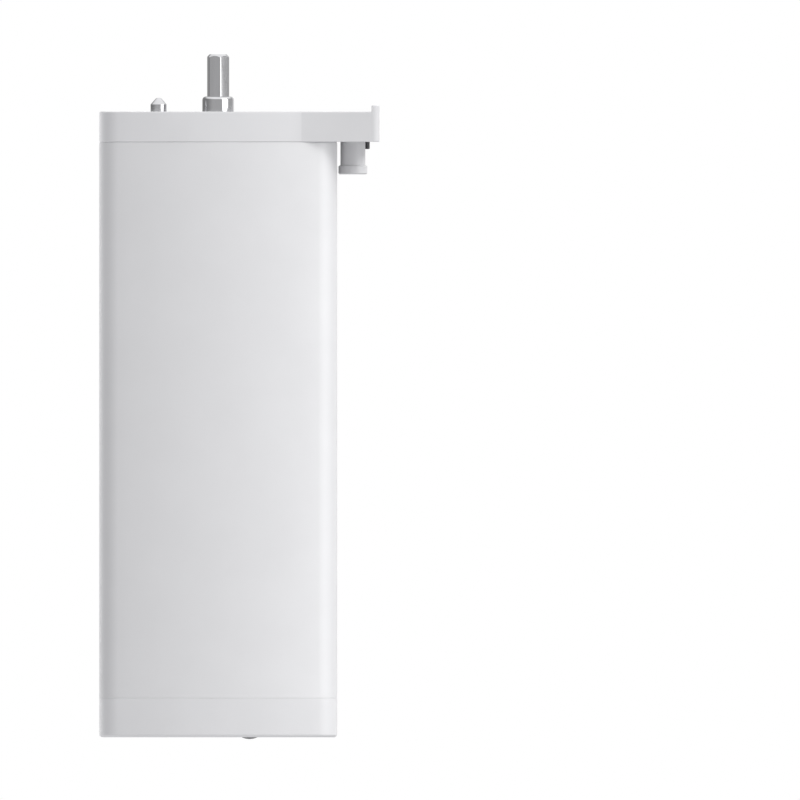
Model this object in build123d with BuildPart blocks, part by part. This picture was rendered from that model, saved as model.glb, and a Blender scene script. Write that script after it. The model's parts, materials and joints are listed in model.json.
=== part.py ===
from build123d import *
import math
import os

os.makedirs("parts", exist_ok=True)

# A curtain motor that hangs below a curtain track. Sizes are in millimetres.
# Z = 0 is the top face, which lies against the track, and Z runs up the output shaft.
# The wing that carries the power inlet points along +X.

# housing outline, seen from above
body_width = 66.0
body_depth = 49.0
face_radius = 110.0
corner_radius = 7.0

# top cover and its wing
cover_height = 8.4
cover_roof = 3.0
cover_wall = 2.0
cover_edge = 0.35
wing_depth = 44.1
wing_end_wall = 1.8
wing_corner = 1.8
wing_lip = 1.8
lip_thickness = 2.2
lip_edge = 0.4
wing_edge = 0.2

# seams between the cover, the tube and the bottom cap
gasket_thickness = 0.25
gasket_width = 1.1
seam_inset = 0.15

# housing tube
tube_wall = 1.6
channel_offset = 2.4
channel_radius = 3.2
channel_play = 0.05
rail_length = 3.0
rail_thickness = 1.2

# bottom cap
cap_height = 10.9
cap_wall = 2.0
cap_floor = 2.5
cap_edge = 0.9
cap_shadow_gap = 0.1
cap_spigot_height = 2.0
cap_spigot_wall = 1.2
cap_spigot_width = 40.0
cap_spigot_play = 0.1
label_length = 24.0
label_width = 20.0
label_depth = 0.3
label_corner = 1.5
label_x = -14.0

# housing screws
screw_thread = 2.6
screw_hole_play = 0.15
screw_head = 5.6
screw_head_height = 1.7
screw_head_play = 0.25
screw_head_sink = 0.4
cover_screw_length = 18.0
cap_screw_length = 20.0
screw_recess_width = 0.8
screw_recess_length = 3.2
screw_recess_depth = 1.0
screw_tip_taper = 0.3
screw_tip_length = 0.8
head_roundness = 0.5
blind_hole_spare = 0.5

# output shaft, stepped, with a hexagonal drive end
hex_across_flats = 5.7
hex_turn = 10.0
hex_top = 15.9
hex_chamfer = 0.9
hex_edge = 0.45
hex_sides = 6
collar_diameter = 8.8
collar_top = 4.2
collar_fillet = 1.0
collar_play = 0.5
neck_diameter = 8.3
shaft_square = 5.2

# ball bearing at the output
bearing_bore = 8.0
bearing_diameter = 16.0
bearing_width = 5.0
bearing_sink = 0.2
race_wall = 1.2
ball_diameter = 2.0
ball_count = 8
ball_play = 0.04

# plain bush under the bearing
bush_wall = 1.5
bush_length = 3.4
running_play = 0.04

# planetary gears: both stages share one ring gear
gear_module = 0.55
pressure_angle = 20.0
sun_teeth = 15
planet_teeth = 21
planet_count = 3
tooth_thinning = 0.07
root_clearance = 0.25
gear_face = 7.1
stage_gap = 0.3
planet_pin_diameter = 3.0
planet_bore_play = 0.05
carrier_thickness = 3.4
carrier_rim_gap = 1.1
sun_spigot = 6.0
ring_wall = 1.6

# gearbox plates and the long screws that clamp them to the cover
hub_wall = 2.5
flange_thickness = 3.0
rear_plate_thickness = 3.0
ear_radius = 2.8
ear_offset = 2.5
gearbox_thread = 2.4
gearbox_thread_play = 0.15
gearbox_head = 4.4
gearbox_head_height = 1.6
gearbox_screw_bite = 4.0
centring_ring_wall = 1.6
centring_play = 0.1

# motor
can_wall = 1.6
can_edge = 1.0
can_screw_gap = 0.25
can_length = 50.0
motor_shaft_diameter = 3.17
motor_shaft_edge = 0.3
motor_screw_spacing = 25.0
motor_screw_thread = 2.8
motor_screw_head = 5.2
motor_screw_length = 5.4
motor_screw_seat = 0.1
motor_boss_wall = 1.2
motor_boss_play = 0.6
magnet_thickness = 3.0
magnet_overhang = 3.0
magnet_angle = 120.0
magnet_count = 2
magnet_play = 0.1
rotor_gap = 0.4
core_start = 9.5
core_hub = 6.0
coil_hub_gap = 0.6
coil_shoe_gap = 0.15
pole_count = 5
pole_arm = 4.0
pole_shoe = 1.3
pole_shoe_angle = 58.0
winding_thickness = 2.1
winding_play = 0.1
commutator_diameter = 8.4
commutator_length = 5.6
commutator_gap = 1.2
commutator_cap_gap = 1.5
commutator_slot_width = 0.4
commutator_slot_depth = 0.5
brush_width = 3.0
brush_length = 7.0
brush_play = 0.1
brush_holder_wall = 1.0
brush_holder_setback = 1.2
end_cap_thickness = 3.0
end_cap_spigot = 2.0
end_cap_inset = 0.5
end_cap_play = 0.05
motor_bush_diameter = 6.8
motor_bush_length = 3.2
motor_bush_play = 0.03
damper_length = 8.0
damper_start = 18.0
damper_gap = 0.3
damper_side = 2.5

# speed sensor behind the motor
sensor_magnet_diameter = 10.0
sensor_magnet_length = 3.0
sensor_magnet_gap = 1.5
sensor_gap = 1.0
sensor_board_length = 30.0
sensor_board_width = 13.0
sensor_board_corner = 1.5
sensor_chip_size = 3.0
sensor_chip_height = 0.6
sensor_post_radius = 1.8
sensor_post_spacing = 24.0
board_thickness = 1.6

# motor terminals and leads
terminal_x = 7.0
terminal_y = -11.0
terminal_width = 2.8
terminal_thickness = 0.5
terminal_length = 6.0
lead_diameter = 1.3
lead_spacing = 2.4
lead_bend = 2.4
lead_run_gap = 0.8
lead_turn = 4.8
lead_drop = 4.0
sensor_lead_turn = 2.5
sensor_lead_spacing = 2.0
sensor_lead_bend = 1.5

# control board, held in the tube's rails
board_y = 6.0
board_length = 56.0
board_headroom = 6.1
board_side_gap = 0.25
rail_play = 0.1
board_end_gap = 0.3

# what stands on the control board: sizes, distances from its top edge and places across it;
# the capacitors and the module keep their distance from the board's side edges
controller_size = 7.0
controller_height = 1.6
controller_x = 2.0
controller_down = 16.0
driver_width = 8.0
driver_length = 10.0
driver_height = 2.4
driver_down = 30.0
regulator_width = 5.0
regulator_length = 6.5
regulator_spots_x = (-10.0, -18.0)
regulator_down = 38.0
resistor_width = 1.2
resistor_length = 2.0
resistor_height = 0.8
resistor_spots_x = (-22.0, -18.0, -14.0, -10.0, -6.0)
resistor_down = 46.0
capacitor_inset = 12.15
capacitor_radius = 5.0
capacitor_height = 16.0
capacitor_edge = 0.8
capacitors_down = (22.0, 35.0)
choke_radius = 5.0
choke_core_radius = 3.8
choke_flange = 1.2
choke_height = 8.0
choke_down = 47.5
module_inset = 14.15
module_down = 20.0
module_width = 18.0
module_length = 25.0
module_thickness = 0.8
shield_down = 23.0
shield_width = 15.5
shield_length = 16.0
shield_height = 2.2
socket_width = 8.0
socket_length = 6.0
socket_height = 5.8
socket_edge_gap = 1.0
inlet_socket_side_gap = 9.0
motor_socket_x = 7.0
sensor_socket_x = -10.0
light_size = 3.0
light_gap = 3.1

# power inlet under the wing
inlet_side_gap = 0.35
inlet_diameter = 6.9
inlet_bore = 5.7
inlet_reach = 9.0
inlet_rim_diameter = 8.0
inlet_rim_height = 2.2
inlet_rim_slope = 0.4
inlet_collar_diameter = 8.4
inlet_collar_height = 1.3
inlet_pin_diameter = 2.1
inlet_pin_recess = 2.2
inlet_depth = 9.0
inlet_edge = 0.3
inlet_pin_round = 0.6
inlet_contact_recess = 3.3
inlet_fit = 0.05
contact_width = 1.6
contact_thickness = 0.35
wing_plate_thickness = 1.8
wing_plate_width = 30.0
wing_plate_gap = 0.1
wing_screw_spacing = 24.0
wing_screw_thread = 1.8
wing_screw_head = 3.4
wing_screw_head_height = 0.9
wing_screw_length = 4.0
latch_pin_forward = 3.95
latch_pin_sideways = 2.4
latch_pin_margin = 0.88
latch_pin_diameter = 1.44
latch_pin_reach = 2.0
latch_pin_edge = 0.2
lead_notch_width = 6.0
lead_notch_height = 2.6
solder_tag = 1.2
lead_play = 0.1

# sprung locating pin in the cover
locating_x = -16.5
locating_diameter = 4.5
locating_cylinder = 2.0
locating_cone = 1.8
locating_tip = 1.3
locating_tip_round = 0.45
locating_neck = 4.1
locating_travel = 3.2
locating_flange = 5.8
locating_flange_height = 1.2
locating_play = 0.08
barrel_wall = 0.7
barrel_lip = 1.0
barrel_floor = 0.8
spring_wire = 0.35
spring_turns = 5
spring_clear = 0.2
spring_seat_gap = 0.05
spring_solid_share = 1.15

# set button in the bottom cap
button_x = 8.7
button_diameter = 4.4
button_dome = 0.5
button_travel = 0.5
button_play = 0.12
button_flange = 6.4
button_flange_height = 0.8
button_stem = 2.6
switch_body = 6.2
switch_height = 4.0
switch_plunger_reach = 1.5
switch_spare = 0.4

# levels along Z that the sizes above lead to
cover_bottom = -cover_height
tube_top = cover_bottom - gasket_thickness
roof_bottom = -cover_roof
bearing_top = roof_bottom - bearing_sink
bearing_bottom = bearing_top - bearing_width
bush_top = bearing_bottom - bearing_sink * 2
flange_bottom = bush_top - bush_length
flange_top = flange_bottom + flange_thickness
carrier_top = flange_bottom - stage_gap
carrier_bottom = carrier_top - carrier_thickness
second_planet_top = carrier_bottom - stage_gap
second_planet_bottom = second_planet_top - gear_face
first_carrier_top = second_planet_bottom - stage_gap * 2
first_carrier_bottom = first_carrier_top - carrier_thickness
first_planet_top = first_carrier_bottom - stage_gap
first_planet_bottom = first_planet_top - gear_face
rear_plate_top = first_planet_bottom - stage_gap * 2
rear_plate_bottom = rear_plate_top - rear_plate_thickness
can_top = rear_plate_bottom
can_bottom = can_top - can_length
end_cap_bottom = can_bottom - end_cap_thickness
commutator_bottom = can_bottom + end_cap_spigot + commutator_cap_gap
commutator_top = commutator_bottom + commutator_length
core_bottom = commutator_top + commutator_gap + winding_play + winding_thickness
core_top = can_top - core_start
core_length = core_top - core_bottom
magnet_top = core_top + magnet_overhang
magnet_bottom = core_bottom - magnet_overhang
sensor_magnet_top = end_cap_bottom - sensor_magnet_gap
sensor_magnet_bottom = sensor_magnet_top - sensor_magnet_length
sensor_board_top = sensor_magnet_bottom - sensor_gap
sensor_board_bottom = sensor_board_top - board_thickness
wing_plate_top = cover_bottom + wing_plate_thickness
inlet_bottom = cover_bottom - inlet_reach
inlet_top = wing_plate_top + inlet_collar_height
lead_level = roof_bottom - lead_play - lead_diameter / 2
board_top = sensor_board_bottom - board_headroom
board_bottom = board_top - board_length
cap_top = board_bottom - board_end_gap - cap_spigot_height
body_bottom = cap_top - cap_height
switch_bottom = board_bottom

# gear and outline values worked out from the sizes above
ring_teeth = sun_teeth + 2 * planet_teeth
planet_distance = gear_module * (sun_teeth + planet_teeth) / 2
ring_tip_radius = gear_module * (ring_teeth / 2 - 1)
ring_root_radius = gear_module * (ring_teeth / 2 + 1 + root_clearance)
ring_outer_radius = ring_root_radius + ring_wall
carrier_radius = ring_tip_radius - carrier_rim_gap
mesh_steps = sun_teeth + ring_teeth
planet_angles = [360 / mesh_steps * round(mesh_steps * index / planet_count) for index in range(planet_count)]
sun_turn = 180 / sun_teeth * ((planet_teeth + 1) % 2)
hub_radius = bearing_diameter / 2 + hub_wall
bush_radius = bearing_bore / 2 + bush_wall
ear_reach = ring_outer_radius + ear_offset
can_radius = ear_reach - gearbox_head / 2 - can_screw_gap
can_bore = can_radius - can_wall
rotor_radius = can_bore - magnet_play - magnet_thickness - rotor_gap
motor_shaft_radius = motor_shaft_diameter / 2

corner_x = body_width / 2 - corner_radius
face_centre_y = body_depth / 2 - face_radius
corner_y = face_centre_y + math.sqrt((face_radius - corner_radius) ** 2 - corner_x**2)
blend_angle = math.degrees(math.atan2(corner_y - face_centre_y, corner_x))
channel_x = corner_x + channel_offset / math.sqrt(2)
channel_y = corner_y + channel_offset / math.sqrt(2)
channel_spots = [(x, y) for x in (-channel_x, channel_x) for y in (-channel_y, channel_y)]
ear_x = ear_reach / math.sqrt(2)
ear_spots = [(x, y) for x in (-ear_x, ear_x) for y in (-ear_x, ear_x)]
inlet_x = body_width / 2 + inlet_side_gap + inlet_rim_diameter / 2
latch_pin_x = inlet_x + latch_pin_forward
latch_pin_spot = (latch_pin_x, latch_pin_sideways)
wing_reach = latch_pin_x + latch_pin_diameter / 2 + latch_pin_margin + wing_end_wall
wing_pocket_start = body_width / 2 + wing_plate_gap
wing_pocket_end = wing_reach - wing_end_wall
wing_pocket_middle = (wing_pocket_start + wing_pocket_end) / 2
wing_screw_spots = [(wing_pocket_middle, y) for y in (-wing_screw_spacing / 2, wing_screw_spacing / 2)]


def body_outline(inset=0.0):
    """The housing's plan outline, set in from its outer skin."""
    side_x = body_width / 2 - inset
    with BuildSketch() as outline:
        with BuildLine():
            CenterArc((0, face_centre_y), face_radius - inset, 90, blend_angle - 90)
            CenterArc((corner_x, corner_y), corner_radius - inset, blend_angle, -blend_angle)
            Line((side_x, corner_y), (side_x, 0))
            mirror(about=Plane.YZ)
            mirror(about=Plane.XZ)
        make_face()
    return outline.sketch


def wing_outline():
    """The wing's plan outline, from the shaft's axis to its rounded end."""
    with BuildSketch() as outline:
        with Locations((wing_reach / 2, 0)):
            Rectangle(wing_reach, wing_depth)
        fillet(outline.vertices().group_by(Axis.X)[-1], wing_corner)
    return outline.sketch


def involute(angle):
    """The involute function of an angle in radians."""
    return math.tan(angle) - angle


def tooth_half_angle(radius, teeth, thickness):
    """Half the angle that a tooth of this pitch-line thickness fills at a radius."""
    pitch_radius = gear_module * teeth / 2
    pressure = math.radians(pressure_angle)
    base_radius = pitch_radius * math.cos(pressure)
    local_pressure = math.acos(min(1.0, base_radius / radius))
    return thickness / (2 * pitch_radius) + involute(pressure) - involute(local_pressure)


def polar(radius, angle):
    """A point in the plane from its radius and its angle in radians."""
    return (radius * math.cos(angle), radius * math.sin(angle))


def cut_face(inner_radius, outer_radius, start_radius, half_angle):
    """A tooth gap about the X axis, whose flanks follow half_angle(radius)."""
    span = outer_radius - start_radius
    radii = [start_radius + span * step / 4 for step in range(5)]
    upper = [polar(radius, half_angle(radius)) for radius in radii]
    lower = [(x, -y) for x, y in upper]
    inner_up = polar(inner_radius, half_angle(start_radius))
    inner_down = (inner_up[0], -inner_up[1])
    with BuildSketch() as gap:
        with BuildLine():
            Spline(*upper)
            Spline(*lower)
            Line(upper[-1], lower[-1])
            if start_radius > inner_radius:
                Line(inner_up, upper[0])
                Line(inner_down, lower[0])
            ThreePointArc(inner_up, (inner_radius, 0), inner_down)
        make_face()
    return gap.sketch


def outer_gear(teeth, bore):
    """A gear's outline with a tooth on the X axis and a round bore."""
    pitch_radius = gear_module * teeth / 2
    tip_radius = pitch_radius + gear_module
    root_radius = pitch_radius - gear_module * (1 + root_clearance)
    base_radius = pitch_radius * math.cos(math.radians(pressure_angle))
    thickness = math.pi * gear_module / 2 - tooth_thinning
    gap = cut_face(
        root_radius,
        tip_radius + gear_module / 2,
        max(base_radius, root_radius),
        lambda radius: math.pi / teeth - tooth_half_angle(radius, teeth, thickness),
    )
    with BuildSketch() as gear:
        Circle(tip_radius)
        with PolarLocations(0, teeth, start_angle=180 / teeth):
            add(gap, mode=Mode.SUBTRACT)
        Circle(bore, mode=Mode.SUBTRACT)
    return gear.sketch


def ring_gear_hole():
    """The toothed hole of the ring gear, with a gap on the X axis."""
    gap_width = math.pi * gear_module / 2 + tooth_thinning
    gap = cut_face(
        ring_tip_radius - gear_module,
        ring_root_radius,
        ring_tip_radius - gear_module,
        lambda radius: tooth_half_angle(radius, ring_teeth, gap_width),
    )
    with BuildSketch() as hole:
        Circle(ring_tip_radius)
        with PolarLocations(0, ring_teeth):
            add(gap)
    return hole.sketch


def spoke_plane(angle, distance, level):
    """A level plane whose origin is at an angle and distance from the shaft's axis."""
    direction = (math.cos(math.radians(angle)), math.sin(math.radians(angle)), 0)
    origin = (distance * direction[0], distance * direction[1], level)
    return Plane(origin=origin, x_dir=direction, z_dir=(0, 0, 1))


def plate_outline():
    """The outline of the gearbox's plates: a disc with an ear for each long screw."""
    with BuildSketch() as outline:
        Circle(ring_outer_radius)
        for x, y in ear_spots:
            with Locations(Location((x / 2, y / 2), math.degrees(math.atan2(y, x)))):
                Rectangle(ear_reach, ear_radius * 2)
        with Locations(*ear_spots):
            Circle(ear_radius)
    return outline.sketch


def cross_screw(thread, head, head_height, length):
    """A pan-head screw, head up, whose head sits on Z = 0."""
    recess_scale = head / screw_head
    with BuildPart() as screw:
        with BuildSketch(Plane.XZ):
            with BuildLine():
                Polyline(
                    (0, -length),
                    (thread / 2 - screw_tip_taper, -length),
                    (thread / 2, screw_tip_length - length),
                    (thread / 2, 0),
                    (head / 2, 0),
                    (head / 2, head_height),
                    (0, head_height),
                    (0, -length),
                )
            make_face()
        revolve(axis=Axis.Z)
        fillet(screw.edges().group_by(Axis.Z)[-1], head_height * head_roundness)
        with BuildSketch(Plane.XY.offset(head_height)):
            Rectangle(screw_recess_length * recess_scale, screw_recess_width * recess_scale)
            Rectangle(screw_recess_width * recess_scale, screw_recess_length * recess_scale)
        extrude(amount=-screw_recess_depth * recess_scale, mode=Mode.SUBTRACT)
    return screw.part


# top cover, with the wing that overhangs the tube
screw_seat_radius = screw_head / 2 + screw_head_play
screw_hole_radius = screw_thread / 2 + screw_hole_play
screw_seat_level = -(screw_head_sink + screw_head_height)
barrel_radius = locating_flange / 2 + locating_play + barrel_wall
gearbox_hole_radius = gearbox_thread / 2
with BuildPart() as top_cover:
    with BuildSketch(Plane.XY.offset(cover_bottom)):
        add(body_outline())
        add(wing_outline())
    extrude(amount=cover_height)
    fillet(top_cover.faces().sort_by(Axis.Z)[-1].edges(), cover_edge)
    with BuildSketch(Plane.XY.offset(roof_bottom)):
        add(wing_outline())
        with Locations(((wing_reach - lip_thickness) / 2, 0)):
            Rectangle(wing_reach - lip_thickness, wing_depth * 2, mode=Mode.SUBTRACT)
    extrude(amount=cover_roof + wing_lip)
    fillet(top_cover.edges().filter_by(Plane.XY).group_by(Axis.Z)[-1], lip_edge)
    chamfer(top_cover.faces().sort_by(Axis.Z)[0].outer_wire().edges(), wing_edge)
    # hollow under the roof, with posts left in it for the screws
    with BuildSketch(Plane.XY.offset(cover_bottom)):
        add(body_outline(cover_wall))
        with Locations(*channel_spots):
            Circle(channel_radius, mode=Mode.SUBTRACT)
    extrude(amount=cover_height - cover_roof, mode=Mode.SUBTRACT)
    with BuildSketch(Plane.XY.offset(flange_top)):
        with Locations(*ear_spots):
            Circle(ear_radius)
    extrude(amount=roof_bottom - flange_top)
    with BuildSketch(Plane.XY.offset(roof_bottom)):
        Circle(hub_radius + centring_play + centring_ring_wall)
        Circle(hub_radius + centring_play, mode=Mode.SUBTRACT)
    extrude(amount=-cover_roof)
    # wing pocket for the inlet, and the notch that the leads pass through
    with BuildSketch(Plane.XY.offset(cover_bottom)):
        with Locations((wing_pocket_middle, 0)):
            Rectangle(wing_pocket_end - wing_pocket_start, wing_plate_width)
    extrude(amount=cover_height - cover_roof, mode=Mode.SUBTRACT)
    with BuildSketch(Plane.XY.offset(wing_plate_top)):
        with Locations(*wing_screw_spots):
            Rectangle(wing_pocket_end - wing_pocket_start, wing_plate_width - wing_screw_spacing)
    extrude(amount=roof_bottom - wing_plate_top)
    with BuildSketch(Plane.XY.offset(roof_bottom - lead_notch_height)):
        with Locations((wing_pocket_start - cover_wall / 2, 0)):
            Rectangle(cover_wall * 3, lead_notch_width)
    extrude(amount=lead_notch_height, mode=Mode.SUBTRACT)
    # openings in the roof
    with Locations(*[(x, y, 0) for x, y in channel_spots]):
        CounterBoreHole(screw_hole_radius, screw_seat_radius, -screw_seat_level, cover_height)
    with Locations((0, 0, 0)):
        Hole(collar_diameter / 2 + collar_play, cover_height)
    with Locations((locating_x, 0, 0)):
        Hole(barrel_radius, cover_height)
    with BuildSketch(Plane.XY.offset(flange_top)):
        with Locations(*ear_spots):
            Circle(gearbox_hole_radius)
    extrude(amount=gearbox_screw_bite + blind_hole_spare, mode=Mode.SUBTRACT)
    with BuildSketch(Plane.XY.offset(wing_plate_top)):
        with Locations(*wing_screw_spots):
            Circle(wing_screw_thread / 2)
    extrude(amount=wing_screw_length - wing_plate_thickness + blind_hole_spare, mode=Mode.SUBTRACT)
top_cover.part.label = "top_cover"
export_step(top_cover.part, "parts/top_cover.step")

# gasket that shows as the thin seam under the cover
with BuildPart() as top_gasket:
    with BuildSketch(Plane.XY.offset(tube_top)):
        add(body_outline(seam_inset))
        add(body_outline(seam_inset + gasket_width), mode=Mode.SUBTRACT)
    extrude(amount=gasket_thickness)
top_gasket.part.label = "top_gasket"
export_step(top_gasket.part, "parts/top_gasket.step")

# extruded housing tube, with screw channels in its corners and rails for the board
rail_width = rail_length + tube_wall / 2
rail_middle = body_width / 2 - tube_wall - rail_length + rail_width / 2
rail_offset = (board_thickness + rail_thickness) / 2 + rail_play
with BuildPart() as housing_tube:
    with BuildSketch(Plane.XY.offset(cap_top)):
        add(body_outline())
        add(body_outline(tube_wall), mode=Mode.SUBTRACT)
        with Locations(*channel_spots):
            Circle(channel_radius)
        for side in (-1, 1):
            with Locations(
                (side * rail_middle, board_y - rail_offset),
                (side * rail_middle, board_y + rail_offset),
            ):
                Rectangle(rail_width, rail_thickness)
        with Locations(*channel_spots):
            Circle(screw_thread / 2 + channel_play, mode=Mode.SUBTRACT)
    extrude(amount=tube_top - cap_top)
    # channels and rails are trimmed to the skin
    with BuildSketch(Plane.XY.offset(cap_top)):
        add(body_outline())
    extrude(amount=tube_top - cap_top, mode=Mode.INTERSECT)
housing_tube.part.label = "housing_tube"
export_step(housing_tube.part, "parts/housing_tube.step")

# bottom cap with the set button's hole and a blank place for a label
button_hole_radius = button_diameter / 2 + button_play
cap_seat_level = body_bottom + screw_head_sink + screw_head_height
with BuildPart() as bottom_cap:
    with BuildSketch(Plane.XY.offset(body_bottom)):
        add(body_outline())
    extrude(amount=cap_height)
    fillet(bottom_cap.faces().sort_by(Axis.Z)[0].edges(), cap_edge)
    chamfer(bottom_cap.faces().sort_by(Axis.Z)[-1].edges(), cap_shadow_gap)
    with BuildSketch(Plane.XY.offset(body_bottom + cap_floor)):
        add(body_outline(cap_wall))
        with Locations(*channel_spots):
            Circle(channel_radius, mode=Mode.SUBTRACT)
    extrude(amount=cap_height - cap_floor, mode=Mode.SUBTRACT)
    # low walls that centre the cap in the tube's front and back
    with BuildSketch(Plane.XY.offset(cap_top)):
        add(body_outline(tube_wall + cap_spigot_play))
        add(body_outline(tube_wall + cap_spigot_play + cap_spigot_wall), mode=Mode.SUBTRACT)
        Rectangle(cap_spigot_width, body_depth, mode=Mode.INTERSECT)
    extrude(amount=cap_spigot_height)
    with BuildSketch(Plane.XY.offset(cap_top)):
        add(body_outline(tube_wall + cap_spigot_play))
        add(body_outline(tube_wall + cap_spigot_play + cap_spigot_wall), mode=Mode.SUBTRACT)
        Rectangle(cap_spigot_width, body_depth, mode=Mode.INTERSECT)
    extrude(amount=-cap_spigot_height)
    with BuildSketch(Plane.XY.offset(body_bottom)):
        with Locations(*channel_spots):
            Circle(screw_seat_radius)
    extrude(amount=cap_seat_level - body_bottom, mode=Mode.SUBTRACT)
    with BuildSketch(Plane.XY.offset(body_bottom)):
        with Locations(*channel_spots):
            Circle(screw_hole_radius)
        with Locations((button_x, 0)):
            Circle(button_hole_radius)
    extrude(amount=cap_height, mode=Mode.SUBTRACT)
    with BuildSketch(Plane.XY.offset(body_bottom)):
        with Locations((label_x, 0)):
            RectangleRounded(label_length, label_width, label_corner)
    extrude(amount=label_depth, mode=Mode.SUBTRACT)
bottom_cap.part.label = "bottom_cap"
export_step(bottom_cap.part, "parts/bottom_cap.step")

# screws through the cover and through the bottom cap, into the tube's channels
cover_screw = cross_screw(screw_thread, screw_head, screw_head_height, cover_screw_length)
with BuildPart() as cover_screws:
    with Locations(*[(x, y, screw_seat_level) for x, y in channel_spots]):
        add(cover_screw)
cover_screws.part.label = "cover_screws"
export_step(cover_screws.part, "parts/cover_screws.step")

cap_screw = cross_screw(screw_thread, screw_head, screw_head_height, cap_screw_length)
with BuildPart() as bottom_screws:
    with Locations(*[Location((x, y, cap_seat_level), (180, 0, 0)) for x, y in channel_spots]):
        add(cap_screw)
bottom_screws.part.label = "bottom_screws"
export_step(bottom_screws.part, "parts/bottom_screws.step")

# plate that closes the wing's pocket from below
plate_length = wing_pocket_end - wing_pocket_start - 2 * wing_plate_gap
with BuildPart() as wing_plate:
    with BuildSketch(Plane.XY.offset(cover_bottom)):
        with Locations((wing_pocket_middle, 0)):
            Rectangle(plate_length, wing_plate_width - 2 * wing_plate_gap)
        with Locations((inlet_x, 0)):
            Circle(inlet_diameter / 2 + inlet_fit, mode=Mode.SUBTRACT)
        with Locations(latch_pin_spot):
            Circle(latch_pin_diameter / 2, mode=Mode.SUBTRACT)
        with Locations(*wing_screw_spots):
            Circle(wing_screw_thread / 2 + screw_hole_play, mode=Mode.SUBTRACT)
    extrude(amount=wing_plate_thickness)
    with BuildSketch(Plane.XY.offset(cover_bottom)):
        with Locations(*wing_screw_spots):
            Circle(wing_screw_head / 2 + screw_head_play)
    extrude(amount=wing_screw_head_height, mode=Mode.SUBTRACT)
wing_plate.part.label = "wing_plate"
export_step(wing_plate.part, "parts/wing_plate.step")

wing_screw = cross_screw(
    wing_screw_thread, wing_screw_head, wing_screw_head_height, wing_screw_length - wing_screw_head_height
)
wing_screw_seat = cover_bottom + wing_screw_head_height
with BuildPart() as wing_screws:
    with Locations(*[Location((x, y, wing_screw_seat), (180, 0, 0)) for x, y in wing_screw_spots]):
        add(wing_screw)
wing_screws.part.label = "wing_screws"
export_step(wing_screws.part, "parts/wing_screws.step")

with BuildPart() as latch_pin:
    with BuildSketch(Plane.XY.offset(cover_bottom - latch_pin_reach)):
        with Locations(latch_pin_spot):
            Circle(latch_pin_diameter / 2)
    extrude(amount=latch_pin_reach + wing_plate_thickness)
    chamfer(latch_pin.edges().group_by(Axis.Z)[0], latch_pin_edge)
latch_pin.part.label = "latch_pin"
export_step(latch_pin.part, "parts/latch_pin.step")

# power inlet: a round socket with a rim at its mouth and a centre pin inside
inlet_wall_plane = Plane(origin=(inlet_x, 0, 0), x_dir=(1, 0, 0), z_dir=(0, -1, 0))
rim_top = inlet_bottom + inlet_rim_height
bore_top = inlet_bottom + inlet_depth
with BuildPart() as inlet_shell:
    with BuildSketch(inlet_wall_plane):
        with BuildLine():
            Polyline(
                (0, inlet_top),
                (inlet_collar_diameter / 2, inlet_top),
                (inlet_collar_diameter / 2, wing_plate_top),
                (inlet_diameter / 2, wing_plate_top),
                (inlet_diameter / 2, rim_top + inlet_rim_slope),
                (inlet_rim_diameter / 2, rim_top),
                (inlet_rim_diameter / 2, inlet_bottom),
                (inlet_bore / 2, inlet_bottom),
                (inlet_bore / 2, bore_top),
                (0, bore_top),
                (0, inlet_top),
            )
        make_face()
    revolve(axis=Axis((inlet_x, 0, 0), (0, 0, 1)))
    mouth = inlet_shell.faces().sort_by(Axis.Z)[0]
    chamfer(mouth.outer_wire().edges(), inlet_edge)
    chamfer(mouth.inner_wires()[0].edges(), inlet_edge)
    with BuildSketch(Plane.XY.offset(bore_top)):
        with Locations((inlet_x, 0)):
            Circle(inlet_pin_diameter / 2)
        with Locations((inlet_x + inlet_bore / 2 - contact_thickness, 0)):
            Rectangle(contact_thickness, contact_width)
    extrude(amount=inlet_top - bore_top, mode=Mode.SUBTRACT)
inlet_shell.part.label = "inlet_shell"
export_step(inlet_shell.part, "parts/inlet_shell.step")

with BuildPart() as inlet_contacts:
    with BuildSketch(Plane.XY.offset(inlet_bottom + inlet_pin_recess)):
        with Locations((inlet_x, 0)):
            Circle(inlet_pin_diameter / 2)
    extrude(amount=inlet_top - inlet_bottom - inlet_pin_recess)
    fillet(inlet_contacts.edges().group_by(Axis.Z)[0], inlet_pin_round)
    with BuildSketch(Plane.XY.offset(inlet_bottom + inlet_contact_recess)):
        with Locations((inlet_x + inlet_bore / 2 - contact_thickness, 0)):
            Rectangle(contact_thickness, contact_width)
    extrude(amount=inlet_top - inlet_bottom - inlet_contact_recess)
    with BuildSketch(Plane.XY.offset(inlet_top)):
        with Locations((inlet_x, (lead_spacing / 2 + solder_tag / 2) / 2)):
            Rectangle(solder_tag, lead_spacing / 2 + solder_tag / 2)
        with Locations((inlet_x + inlet_bore / 2 - contact_thickness, -lead_spacing / 4)):
            Rectangle(contact_thickness * 2, lead_spacing / 2 + contact_width / 2)
        with Locations((inlet_x + inlet_bore / 4, -lead_spacing / 2)):
            Rectangle(inlet_bore / 2, contact_thickness * 2)
    extrude(amount=lead_level - lead_diameter / 2 - inlet_top)
inlet_contacts.part.label = "inlet_contacts"
export_step(inlet_contacts.part, "parts/inlet_contacts.step")

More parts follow.
